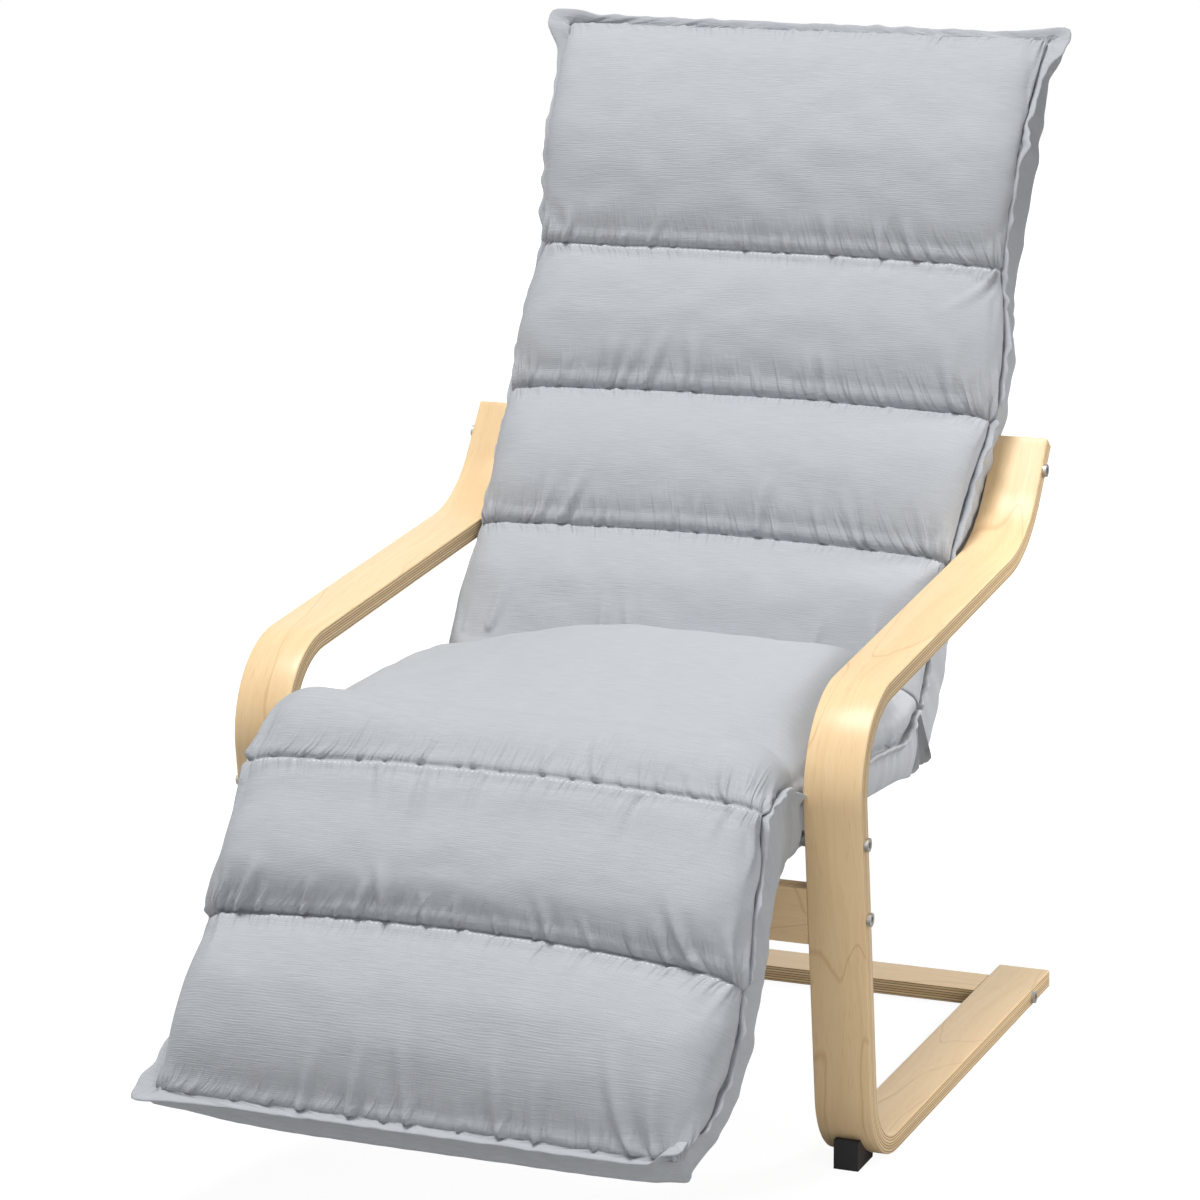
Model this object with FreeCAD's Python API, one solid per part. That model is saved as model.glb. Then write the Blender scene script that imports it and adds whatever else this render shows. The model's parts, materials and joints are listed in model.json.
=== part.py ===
import FreeCAD, Part
import math
import os
from collections import namedtuple
from FreeCAD import Vector

# A lounge chair on two bent laminated side frames, with one long quilted cushion.
# The cushion hides a steel tube frame that is bolted to the legs and to the tongues
# at the rear ends of the arms. Ratchet hinges carry the leg rest and the head rest.
# The sitter faces -Y, so the left side is +X, and Z is up. Everything is drawn from the
# corner where the outlines of leg and runner would meet, and moved at the end so that
# the origin is on the floor below the middle of the chair. All lengths are in millimetres.

# Bent side frames, a laminated strip each
overall_width = 680.0
strip_width = 60.0
strip_thickness = 20.0
runner_length = 640.0
arm_front_height = 491.0
arm_rear_height = 545.0
leg_setback = 61.0
arm_run = 571.0
tongue_length = 128.0
tongue_angle = 53.3
front_bend_radius = 101.0
foot_bend_radius = 87.0
tongue_bend_radius = 137.0
strip_edge_round = 1.5

# Wooden rails between the side frames
rail_width = 60.0
front_rail_thickness = 18.0
front_rail_height = 275.0
floor_rail_thickness = 18.0
floor_rail_end = 41.0
rail_edge_round = 1.5

# Bolts, barrel nuts and dowels
bolt_size = 8.0
bolt_hole_clearance = 0.2
bolt_head_size = 14.0
bolt_head_height = 4.0
bolt_socket_size = 6.0
bolt_socket_depth = 2.5
bolt_into_rail = 42.0
thread_clearance = 0.1
tongue_bolt_setback = 35.0
seat_bolt_height = 354.5
nut_size = 12.0
nut_setback = 8.0
nut_cover = 3.0
nut_recess = 2.0
nut_clearance = 0.1
dowel_size = 8.0
dowel_length = 40.0
dowel_spacing = 20.0
dowel_clearance = 0.1

# Black wedge feet under the front bends
foot_width = 26.0
foot_height = 31.0
foot_front = 2.5
foot_length = 47.0
foot_seat_gap = 0.2
screw_size = 4.0
screw_length = 24.0
screw_head_size = 8.0
screw_head_height = 2.0
screw_sink = 3.0
screw_clearance = 0.1

# Steel frame in the cushion
tube_size = 19.0
tube_wall = 1.5
tube_inset = 37.0
cross_tube_size = 16.0
seat_tilt = 3.3
leg_pivot_reach = 58.0
seat_bend_radius = 70.0
upper_back_start = 96.0
upper_back_angle = 64.0
back_bend_radius = 150.0
head_pivot_reach = 186.0
head_angle = 70.0
leg_angle = 57.0
leg_frame_length = 250.0
head_frame_length = 190.0
end_frame_radius = 45.0
bush_size = 13.0
sleeve_size = 16.0
weld_gap = 0.1

# Cross tubes, each measured along its own stretch of the frame
seat_front_cross = 108.0
seat_rear_cross = 50.0
low_back_cross = 322.0
top_back_cross = 80.0
leg_cross = 62.0
head_cross = 62.0

# Ratchet hinges at the knee and at the head
plate_thickness = 3.0
plate_arm_width = 13.0
plate_arm_length = 46.0
ratchet_radius = 21.0
tooth_depth = 2.6
tooth_step = 6.0
tooth_count = 16
tooth_root_share = 0.85
knee_teeth_angle = 219.0
head_teeth_angle = 88.0
cheek_thickness = 2.2
cheek_radius = 26.0
cheek_gap = 0.3
pin_size = 8.0
pin_clearance = 0.05
pin_head_size = 13.0
pin_head_height = 2.0
tube_end_setback = 30.0
pawl_clearance = 0.4
pawl_length = 11.5
pawl_width = 9.0
pawl_nose = 3.0
spring_thickness = 0.6
spring_gap = 0.1
rivet_size = 5.0
rivet_place = 42.0
rivet_clearance = 0.05

# Webbing straps round the tubes
strap_width = 45.0
strap_thickness = 2.0
strap_gap = 0.3
strap_return = 35.0
strap_setback = 42.0
seat_straps = 4
back_straps = 4
leg_straps = 2
head_straps = 2

# Cushion blocks: half widths, depths behind and in front of the steel frame
cushion_inset = 18.0
leg_spread = 2.0
calf_spread = 10.0
toe_spread = 24.0
neck_spread = 12.0
ear_spread = 34.0
full_out = 7.0
under_inset = 5.0
under_swell = 6.0
under_depth = 34.0
seat_under_depth = 20.0
head_under_depth = 34.0
leg_under_depth = 31.0
flange_height = 55.0
seat_flange_height = 38.0
leg_flange_height = 58.0
neck_flange_height = 61.0
seam_rise = 12.0
neck_seam_rise = 6.0
fold_seam_rise = 47.0
back_crown = 38.0
seat_crown = 30.0
seat_across_crown = 30.0
leg_crown = 32.0
head_crown = 34.0
across_crown = 8.0
shoulder_width = 45.0
knee_radius = 88.0
neck_radius = 84.0
roll_shoulder = 26.0
roll_drop = 16.0
knee_roll_start = 28.0
knee_roll_open = 74.0
neck_roll_open = 195.0
neck_slot_end = 268.0
neck_roll_turn = 179.0
soft_gap = 0.5
frame_gap = 0.6

# Seams of the cushion, measured along the steel frame from its nearest corner or pivot
seat_front_seam = 16.0
corner_reach = 42.0
fold_seam = 40.0
low_back_seam = 205.0
mid_back_seam = 387.0
mid_back_turn = 3.0
neck_seam = 124.0
calf_seam = 167.0
calf_seam_lift = 16.0
leg_block_length = 338.0
leg_end_height = 71.0
leg_end_under = 30.0
head_block_length = 222.0
head_end_height = 38.0
head_end_under = 36.0
end_seam_rise = 4.0

# Shape of a panel between two seams: where its rings stand, how full each of them is, and
# how much of the way to the far seam its depth has come, for a plain panel and an end one
ring_place_shares = (0.0, 0.14, 0.5, 0.86, 1.0)
plain_full_shares = (0.0, 0.70, 1.0, 0.70, 0.0)
seat_full_shares = (0.0, 0.50, 1.0, 1.40, 0.0)
fold_full_shares = (0.0, 0.25, 0.6, 0.70, 0.0)
head_full_shares = (0.0, 0.80, 1.0, 0.80, 0.0)
end_depth_shares = (0.0, 0.0, 0.0, 0.45, 1.0)
seam_crown_share = 0.3
shoulder_out_share = 0.3
shoulder_up_share = 0.72
side_out_share = 0.2
half_share = 0.5

overrun = 2.0
outside = overall_width / 2
wood_inside = outside - strip_width
strip_middle = outside - strip_width / 2
strip_depth = strip_thickness / 2
tube_radius = tube_size / 2
tube_offset = wood_inside - tube_inset
cushion_half = wood_inside - cushion_inset
leg_half = cushion_half + leg_spread
calf_half = cushion_half + calf_spread
toe_half = cushion_half + toe_spread
head_half = cushion_half + neck_spread
ear_half = cushion_half + ear_spread
bolt_end = wood_inside - bolt_into_rail
frame_space = tube_radius + strap_gap + strap_thickness + frame_gap

Seam = namedtuple("Seam", "base face under flange top half")


# Side view: a point is (y, z), and an angle runs in degrees from +Y towards +Z
def go(point, angle, reach):
    turn = math.radians(angle)
    return (point[0] + reach * math.cos(turn), point[1] + reach * math.sin(turn))


def place(point, angle, along, rise):
    return go(go(point, angle, along), angle + 90, rise)


def angle_to(start, end):
    return math.degrees(math.atan2(end[1] - start[1], end[0] - start[0]))


def distance(start, end):
    return math.hypot(end[0] - start[0], end[1] - start[1])


def crossing(first, first_angle, second, second_angle):
    a = math.radians(first_angle)
    b = math.radians(second_angle)
    across = (second[0] - first[0]) * math.sin(b) - (second[1] - first[1]) * math.cos(b)
    return go(first, first_angle, across / math.sin(b - a))


def mix(start, end, share):
    return start + (end - start) * share


def at(x, point):
    return Vector(x, point[0], point[1])


def side_view(point):
    return at(0, point)


def heading(angle):
    return at(0, go((0, 0), angle, 1))


# Solids that run across the chair
def prism(face, low, high):
    return face.translated(Vector(low, 0, 0)).extrude(Vector(high - low, 0, 0))


def polygon(points):
    corners = [side_view(point) for point in points]
    return Part.Face(Part.makePolygon(corners + corners[:1]))


def bar(point, angle, along, rise):
    low, high = along
    bottom, top = rise
    corners = [(low, bottom), (high, bottom), (high, top), (low, top)]
    return polygon([place(point, angle, a, r) for a, r in corners])


def rod(point, radius, low, high):
    return Part.makeCylinder(radius, high - low, at(low, point), Vector(1, 0, 0))


def mirrored(shape):
    return shape.mirror(Vector(0, 0, 0), Vector(1, 0, 0))


def pair(shape):
    return [shape, mirrored(shape)]


def cut_all(shape, tools):
    for tool in tools:
        shape = shape.cut(tool)
    return shape


def round_across(board, radius):
    edges = [edge for edge in board.Edges if abs(edge.tangentAt(edge.FirstParameter).x) > half_share]
    return board.makeFillet(radius, edges)


# A path with rounded corners, as edges, in the plane that lift puts it in
def rounded_path(points, radii, lift=side_view):
    edges = []
    start = points[0]
    for before, corner, after, radius in zip(points, points[1:], points[2:], radii):
        angle_in = angle_to(before, corner)
        angle_out = angle_to(corner, after)
        turn = (angle_out - angle_in + 180) % 360 - 180
        tangent = radius * math.tan(math.radians(abs(turn)) / 2)
        side = math.copysign(90, turn)
        first = go(corner, angle_in, -tangent)
        last = go(corner, angle_out, tangent)
        centre = go(first, angle_in + side, radius)
        middle = go(centre, angle_in - side + turn / 2, radius)
        edges.append(Part.LineSegment(lift(start), lift(first)).toShape())
        edges.append(Part.Arc(lift(first), lift(middle), lift(last)).toShape())
        start = last
    edges.append(Part.LineSegment(lift(start), lift(points[-1])).toShape())
    return edges


# The same path moved to its left: corners follow their bisectors, radii grow or shrink
def shifted_path(points, radii, shift):
    angles = [angle_to(start, end) for start, end in zip(points, points[1:])]
    moved = [go(points[0], angles[0] + 90, shift)]
    new_radii = []
    for corner, angle_in, angle_out, radius in zip(points[1:], angles, angles[1:], radii):
        first = go(corner, angle_in + 90, shift)
        second = go(corner, angle_out + 90, shift)
        moved.append(crossing(first, angle_in, second, angle_out))
        turn = (angle_out - angle_in + 180) % 360 - 180
        new_radii.append(radius - math.copysign(shift, shift * turn))
    moved.append(go(points[-1], angles[-1] + 90, shift))
    return moved, new_radii


# A strip of even thickness along a path, between two shifts of it
def band(points, radii, low, high):
    near, near_radii = shifted_path(points, radii, low)
    far, far_radii = shifted_path(points, radii, high)
    edges = rounded_path(near, near_radii)
    edges.append(Part.LineSegment(side_view(near[-1]), side_view(far[-1])).toShape())
    edges.extend(rounded_path(far[::-1], far_radii[::-1]))
    edges.append(Part.LineSegment(side_view(far[0]), side_view(near[0])).toShape())
    return Part.Face(Part.Wire(edges))


def sweep(points, radii, radius, lift):
    path = Part.Wire(rounded_path(points, radii, lift))
    start = lift(points[0])
    circle = Part.Wire([Part.makeCircle(radius, start, lift(points[1]) - start)])
    return path.makePipeShell([circle], True, False)


def tube(points, radii, lift):
    return sweep(points, radii, tube_radius, lift).cut(sweep(points, radii, tube_radius - tube_wall, lift))


# Outline of the side frame: its floor, front, top and tongue faces meet at these corners
runner_end = (runner_length, 0)
foot_corner = (0, 0)
front_corner = (-leg_setback, arm_front_height)
tongue_corner = (arm_run - leg_setback, arm_rear_height)
tongue_end = go(tongue_corner, tongue_angle, tongue_length)
frame_corners = [runner_end, foot_corner, front_corner, tongue_corner, tongue_end]
frame_radii = [foot_bend_radius, front_bend_radius, tongue_bend_radius]
leg_lean = angle_to(foot_corner, front_corner)
foot_bend_centre = (foot_bend_radius / math.tan(math.radians(leg_lean) / 2), foot_bend_radius)


def leg_point(height, depth):
    return place(foot_corner, leg_lean, height, -depth)


# Bolt places in the side view
rail_bolt = leg_point(front_rail_height, strip_depth)
seat_bolt = leg_point(seat_bolt_height, strip_depth)
back_bolt = place(tongue_corner, tongue_angle, tongue_length - tongue_bolt_setback, -strip_depth)
floor_rail_middle = runner_length - floor_rail_end - rail_width / 2
floor_bolt = (floor_rail_middle, strip_depth)
bolt_places = [rail_bolt, seat_bolt, back_bolt, floor_bolt]
dowel_heights = (front_rail_height - dowel_spacing, front_rail_height + dowel_spacing)
front_dowels = [leg_point(height, strip_depth) for height in dowel_heights]
floor_dowels = [(floor_rail_middle + side, strip_depth) for side in (-dowel_spacing, dowel_spacing)]

# Steel frame line: seat and back in one bend, and the two pivots
seat_angle = -seat_tilt
seat_corner = crossing(seat_bolt, seat_angle, back_bolt, tongue_angle)
leg_pivot = go(seat_bolt, seat_angle, -leg_pivot_reach)
back_corner = go(back_bolt, tongue_angle, upper_back_start)
head_pivot = go(back_corner, upper_back_angle, head_pivot_reach)


# Bent wood
def side_frame():
    blank = prism(band(frame_corners, frame_radii, -strip_thickness, 0), wood_inside, outside)
    edges = []
    for edge in blank.Edges:
        middle = edge.valueAt(mix(edge.FirstParameter, edge.LastParameter, half_share))
        on_side = min(abs(middle.x - wood_inside), abs(middle.x - outside)) < strip_edge_round
        if on_side:
            edges.append(edge)
    shape = blank.makeFillet(strip_edge_round, edges)
    radius = bolt_size / 2 + bolt_hole_clearance
    holes = [rod(point, radius, wood_inside - overrun, outside + overrun) for point in bolt_places]
    holes.extend(dowel_hole(point) for point in front_dowels + floor_dowels)
    return cut_all(shape, holes + [foot_screw(screw_clearance)])


def dowel_hole(point):
    reach = dowel_length / 2 + dowel_clearance
    return rod(point, dowel_size / 2 + dowel_clearance, wood_inside - reach, wood_inside + reach)


def dowel(point):
    return rod(point, dowel_size / 2, wood_inside - dowel_length / 2, wood_inside + dowel_length / 2)


def barrel_nut(face_point, angle, thickness, clearance):
    depth = thickness - nut_cover - nut_recess
    if clearance > 0:
        depth = thickness - nut_cover + overrun
    start = go(face_point, angle, nut_cover)
    radius = nut_size / 2 + clearance
    return Part.makeCylinder(radius, depth, at(bolt_end + nut_setback, start), heading(angle))


def front_nut(clearance):
    face_point = leg_point(front_rail_height, 0)
    return barrel_nut(face_point, leg_lean - 90, front_rail_thickness, clearance)


def floor_nut(clearance):
    face_point = (floor_rail_middle, strip_thickness)
    return barrel_nut(face_point, -90, floor_rail_thickness, clearance)


def threaded(nut, point):
    return nut.cut(rod(point, bolt_size / 2 + thread_clearance, 0, outside))


def drilled_rail(board, bolt, dowels, nut):
    hole = rod(bolt, bolt_size / 2 + bolt_hole_clearance, bolt_end - overrun, wood_inside + overrun)
    tools = [hole, nut] + [dowel_hole(point) for point in dowels]
    return cut_all(board, [copy for tool in tools for copy in pair(tool)])


def front_rail():
    low = front_rail_height - rail_width / 2
    high = front_rail_height + rail_width / 2
    face = bar(foot_corner, leg_lean, (low, high), (-front_rail_thickness, 0))
    board = round_across(prism(face, -wood_inside, wood_inside), rail_edge_round)
    return drilled_rail(board, rail_bolt, front_dowels, front_nut(nut_clearance))


def floor_rail():
    low = floor_rail_middle - rail_width / 2
    high = floor_rail_middle + rail_width / 2
    face = bar(foot_corner, 0, (low, high), (strip_thickness - floor_rail_thickness, strip_thickness))
    board = round_across(prism(face, -wood_inside, wood_inside), rail_edge_round)
    return drilled_rail(board, floor_bolt, floor_dowels, floor_nut(nut_clearance))


# Bolt with a round head and a hexagon socket, from the outer edge face inwards
def bolt(point, inner_end):
    shank = rod(point, bolt_size / 2, inner_end, outside)
    head = rod(point, bolt_head_size / 2, outside, outside + bolt_head_height)
    corner = bolt_socket_size / math.sqrt(3)
    socket = polygon([go(point, step * 60, corner) for step in range(6)])
    top = outside + bolt_head_height
    return shank.fuse(head).cut(prism(socket, top - bolt_socket_depth, top + overrun))


# Wedge foot: flat front and bottom, and a hollow top that follows the bend
def wedge_foot():
    radius = foot_bend_radius + foot_seat_gap
    rear = foot_front + foot_length

    def on_bend(y):
        return (y, foot_bend_centre[1] - math.sqrt(radius ** 2 - (foot_bend_centre[0] - y) ** 2))

    reach = math.sqrt(radius ** 2 - (foot_bend_centre[1] - foot_height) ** 2)
    top = (foot_bend_centre[0] - reach, foot_height)
    tail = on_bend(rear)
    middle = on_bend(mix(top[0], rear, half_share))
    corners = (tail, (rear, 0), (foot_front, 0), (foot_front, foot_height), top)
    straight = [side_view(point) for point in corners]
    edges = Part.makePolygon(straight).Edges
    edges.append(Part.Arc(side_view(top), side_view(middle), side_view(tail)).toShape())
    face = Part.Face(Part.Wire(edges))
    block = prism(face, strip_middle - foot_width / 2, strip_middle + foot_width / 2)
    return block.cut(foot_screw(screw_clearance))


def foot_screw(clearance):
    y = foot_front + foot_length / 2
    sink = Vector(strip_middle, y, screw_sink)
    shank = Part.makeCylinder(screw_size / 2 + clearance, screw_length + clearance, sink)
    height = screw_head_height
    if clearance > 0:
        height = screw_sink + overrun
    head = Part.makeCylinder(screw_head_size / 2 + clearance, height, sink - Vector(0, 0, height))
    return shank.fuse(head)


# Steel frame
def threaded_bush(point, clearance):
    return rod(point, bush_size / 2 + clearance, tube_offset - tube_radius, tube_offset + tube_radius)


def spacer_sleeve(point):
    low = tube_offset + tube_radius + weld_gap
    sleeve = rod(point, sleeve_size / 2, low, wood_inside - weld_gap)
    return sleeve.cut(rod(point, bolt_size / 2 + bolt_hole_clearance, low - overrun, wood_inside))


def main_frame_points():
    start = go(leg_pivot, seat_angle, tube_end_setback)
    end = go(head_pivot, upper_back_angle, -tube_end_setback)
    return [start, seat_corner, back_corner, end]


def main_frame_tube():
    radii = [seat_bend_radius, back_bend_radius]
    shape = tube(main_frame_points(), radii, lambda point: at(tube_offset, point))
    tools = [ratchet_plate(leg_pivot, seat_angle, knee_teeth_angle, weld_gap)]
    tools.append(ratchet_plate(head_pivot, upper_back_angle + 180, head_teeth_angle, weld_gap))
    tools.extend(threaded_bush(point, weld_gap) for point in (seat_bolt, back_bolt))
    return cut_all(shape, tools)


# U-shaped tube of the leg rest or the head rest, in the plane of its own block
def end_frame_tube(pivot, angle, length):
    points = [
        (-tube_offset, tube_end_setback),
        (-tube_offset, length),
        (tube_offset, length),
        (tube_offset, tube_end_setback),
    ]
    radii = [end_frame_radius, end_frame_radius]
    shape = tube(points, radii, lambda point: at(point[0], go(pivot, angle, point[1])))
    tools = [copy for cheek in cheeks(pivot, angle, weld_gap) for copy in pair(cheek)]
    return cut_all(shape, tools)


def cross_tube(pivot, angle, along):
    middle = go(pivot, angle, along)
    radius = cross_tube_size / 2
    whole = rod(middle, radius, -tube_offset, tube_offset)
    whole = whole.cut(rod(middle, radius - tube_wall, -tube_offset, tube_offset))
    start = go(middle, angle, -tube_size)
    side = Part.makeCylinder(tube_radius + weld_gap, 2 * tube_size, at(tube_offset, start), heading(angle))
    return cut_all(whole, pair(side))


# Ratchet hinges
def ratchet_plate(pivot, arm_angle, teeth_angle, clearance):
    points = []
    start = teeth_angle - tooth_step * tooth_count / 2
    for tooth in range(tooth_count):
        angle = start + tooth * tooth_step
        points.append(go(pivot, angle, ratchet_radius))
        points.append(go(pivot, angle + tooth_step * tooth_root_share, ratchet_radius - tooth_depth))
    root = ratchet_radius - tooth_depth
    half = plate_thickness / 2 + clearance
    wheel = rod(pivot, root, tube_offset - half, tube_offset + half)
    teeth = prism(polygon([pivot] + points), tube_offset - half, tube_offset + half)
    width = plate_arm_width / 2 + clearance
    arm = bar(pivot, arm_angle, (0, plate_arm_length + clearance), (-width, width))
    plate = wheel.fuse(teeth).fuse(prism(arm, tube_offset - half, tube_offset + half))
    if clearance > 0:
        return plate
    bore = rod(pivot, pin_size / 2 + pin_clearance, tube_offset - half, tube_offset + half)
    return plate.removeSplitter().cut(bore)


def cheeks(pivot, angle, clearance):
    shapes = []
    inner = plate_thickness / 2 + cheek_gap - clearance
    outer = plate_thickness / 2 + cheek_gap + cheek_thickness + clearance
    width = plate_arm_width / 2 + clearance
    outside_plate = (tube_offset + inner, tube_offset + outer)
    inside_plate = (tube_offset - outer, tube_offset - inner)
    for low, high in (outside_plate, inside_plate):
        disc = rod(pivot, cheek_radius, low, high)
        arm = bar(pivot, angle, (0, plate_arm_length + clearance), (-width, width))
        cheek = disc.fuse(prism(arm, low, high))
        if clearance == 0:
            rivet_point = go(pivot, angle, rivet_place)
            cheek = cheek.removeSplitter().cut(rod(pivot, pin_size / 2 + pin_clearance, low, high))
            cheek = cheek.cut(rod(rivet_point, rivet_size / 2 + rivet_clearance, low, high))
        shapes.append(cheek)
    return shapes


def hinge_pin(pivot):
    head = plate_thickness / 2 + cheek_gap + cheek_thickness + cheek_gap
    shank = rod(pivot, pin_size / 2, tube_offset - head, tube_offset + head)
    for low in (tube_offset + head, tube_offset - head - pin_head_height):
        shank = shank.fuse(rod(pivot, pin_head_size / 2, low, low + pin_head_height))
    return shank.removeSplitter()


def pawl(pivot, angle):
    tip = ratchet_radius + pawl_clearance
    shoulder = tip + pawl_nose
    heel = tip + pawl_length
    width = pawl_width / 2
    outline = [(tip, 0), (shoulder, width), (heel, width), (heel, -width), (shoulder, -width)]
    face = polygon([place(pivot, angle, along, rise) for along, rise in outline])
    return prism(face, tube_offset - plate_thickness / 2, tube_offset + plate_thickness / 2)


def pawl_spring(pivot, angle):
    heel = ratchet_radius + pawl_clearance + pawl_length + spring_gap + spring_thickness
    crest = rivet_place - rivet_size / 2 - spring_thickness - spring_gap
    outline = [(heel, -pawl_width / 2), (crest, 0), (heel, pawl_width / 2)]
    points = [place(pivot, angle, along, rise) for along, rise in outline]
    face = band(points, [spring_thickness], -spring_thickness / 2, spring_thickness / 2)
    return prism(face, tube_offset - plate_thickness / 2, tube_offset + plate_thickness / 2)


def rivet(pivot, angle):
    reach = plate_thickness / 2 + cheek_gap + cheek_thickness
    return rod(go(pivot, angle, rivet_place), rivet_size / 2, tube_offset - reach, tube_offset + reach)


# Strap: flat over the tops of both tubes, round them, and back a little underneath
def strap(pivot, angle, along):
    middle = go(pivot, angle, along)
    inner = tube_radius + strap_gap
    outer = inner + strap_thickness

    def loop(radius):
        start = at(tube_offset, go(middle, angle, -strap_width / 2))
        end = Part.makeCylinder(radius, strap_width, start, heading(angle))
        flat = bar(middle, angle, (-strap_width / 2, strap_width / 2), (-radius, radius))
        return prism(flat, -tube_offset, tube_offset).fuse(pair(end))

    gap = bar(middle, angle, (-strap_width, strap_width), (-outer - overrun, 0))
    half = tube_offset - strap_return
    return loop(outer).cut(loop(inner)).cut(prism(gap, -half, half))


def straps(pivot, angle, stretch, count):
    first = stretch[0] + strap_setback
    step = (stretch[1] - strap_setback - first) / (count - 1)
    return [strap(pivot, angle, first + step * turn) for turn in range(count)]


# Cushion: a ring is its outline across the chair, in a plane through the base point
def ring(seam, crown):
    base, face, under, flange, top, half = seam
    low = half - under_inset
    shoulder = half - shoulder_width
    side = (half - under_inset * side_out_share, mix(-under, flange, half_share))
    rim = (half - shoulder_width * shoulder_out_share, mix(flange, top, shoulder_up_share))

    def spot(x, rise):
        return at(x, go(base, face, rise))

    def arc(start, middle, end):
        return Part.Arc(spot(*start), spot(*middle), spot(*end)).toShape()

    def flip(point):
        return (-point[0], point[1])

    bottom, edge, crest = (low, -under), (half, flange), (shoulder, top)
    edges = [Part.LineSegment(spot(*flip(bottom)), spot(*bottom)).toShape()]
    edges.append(arc(bottom, side, edge))
    edges.append(arc(edge, rim, crest))
    edges.append(arc(crest, (0, top + crown), flip(crest)))
    edges.append(arc(flip(crest), flip(rim), flip(edge)))
    edges.append(arc(flip(edge), flip(side), flip(bottom)))
    return Part.Wire(edges)


# A panel swells between its two seams and is drawn in at both
def panel(
    first, last, crown, full_shares=plain_full_shares, depth_shares=ring_place_shares, across=across_crown
):
    rings = []
    for share, full, depth in zip(ring_place_shares, full_shares, depth_shares):
        base = (mix(first.base[0], last.base[0], share), mix(first.base[1], last.base[1], share))
        out = min(full, 1)
        between = Seam(
            base,
            mix(first.face, last.face, share),
            mix(first.under, last.under, depth) + under_swell * out,
            mix(first.flange, last.flange, depth),
            mix(first.top, last.top, depth) + crown * full,
            mix(first.half, last.half, depth) + full_out * out,
        )
        rings.append(ring(between, across * max(out, seam_crown_share)))
    return Part.makeLoft(rings, True, False)


def sector(pivot, radius, angles, x):
    first, last = angles
    rim = [at(x, go(pivot, mix(first, last, share), radius)) for share in (0, half_share, 1)]
    centre = at(x, pivot)
    edges = [Part.LineSegment(centre, rim[0]).toShape(), Part.Arc(*rim).toShape()]
    edges.append(Part.LineSegment(rim[-1], centre).toShape())
    return Part.Wire(edges)


# Round end of a block, about its pivot, that turns in the hollow of the block beside it
def roll(pivot, radius, angles, half):
    flat = half - roll_shoulder
    rim = radius - roll_drop
    sizes = ((-half, rim), (-flat, radius), (flat, radius), (half, rim))
    return Part.makeLoft([sector(pivot, size, angles, x) for x, size in sizes], True, True)


# Room in a round end for a tube of the frame, over the angles that it sweeps
def tube_slots(pivot, radius, angles, outer):
    inner = tube_offset - tube_radius - frame_gap
    face = Part.Face(sector(pivot, radius + overrun, angles, inner))
    return pair(face.extrude(Vector(outer - inner, 0, 0)))


def hollow(pivot, radius):
    return rod(pivot, radius + soft_gap, -outside, outside)


def frame_cavity():
    points = [leg_pivot, seat_corner, back_corner, head_pivot]
    face = band(points, [seat_bend_radius, back_bend_radius], -frame_space, frame_space)
    half = tube_offset + frame_space
    return prism(face, -half, half)


def end_cavity(pivot, angle, length):
    face = bar(pivot, angle, (-overrun, length + frame_space), (-frame_space, frame_space))
    half = tube_offset + frame_space
    return prism(face, -half, half)


def hinge_spaces(pivot):
    half = tube_radius + frame_gap
    return pair(rod(pivot, tube_end_setback + half, tube_offset - half, tube_offset + half))


def sleeve_spaces(point):
    return pair(rod(point, sleeve_size / 2 + frame_gap, tube_offset, outside))


# The mitre between seat and back runs from the fold in front to the corner behind
fold_point = place(seat_corner, tongue_angle, fold_seam, flange_height)
corner_point = place(seat_corner, seat_angle, corner_reach, -seat_under_depth)
mitre_face = angle_to(corner_point, fold_point)


def mitre_seam(angle, step):
    base = crossing(corner_point, mitre_face, seat_corner, angle)
    under = distance(corner_point, base)
    flange = distance(fold_point, base)
    return Seam(go(base, angle, step), mitre_face, under, flange, flange + fold_seam_rise, cushion_half)


def seat_cushion():
    base = go(leg_pivot, seat_angle, seat_front_seam)
    height = math.sqrt(knee_radius ** 2 - seat_front_seam ** 2)
    front = Seam(base, seat_angle + 90, seat_under_depth, seat_flange_height, height, cushion_half)
    rear = mitre_seam(seat_angle, -soft_gap / 2)
    block = panel(front, rear, seat_crown, seat_full_shares, end_depth_shares, seat_across_crown)
    return cut_all(block, [hollow(leg_pivot, knee_radius), frame_cavity()])


def back_cushion():
    low_face = tongue_angle + 90
    top = flange_height + seam_rise
    fold = mitre_seam(tongue_angle, soft_gap / 2)
    base = go(seat_corner, tongue_angle, low_back_seam)
    low = Seam(base, low_face, under_depth, flange_height, top, cushion_half)
    base = go(seat_corner, tongue_angle, mid_back_seam)
    middle = Seam(base, low_face + mid_back_turn, under_depth, flange_height, top, cushion_half)
    base = go(back_corner, upper_back_angle, neck_seam)
    top = neck_flange_height + neck_seam_rise
    neck = Seam(base, upper_back_angle + 90, under_depth, neck_flange_height, top, head_half)
    block = panel(fold, low, back_crown, fold_full_shares)
    block = block.fuse([panel(low, middle, back_crown), panel(middle, neck, back_crown)])
    tools = [hollow(head_pivot, neck_radius), frame_cavity()] + sleeve_spaces(back_bolt)
    return cut_all(block, tools)


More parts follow.
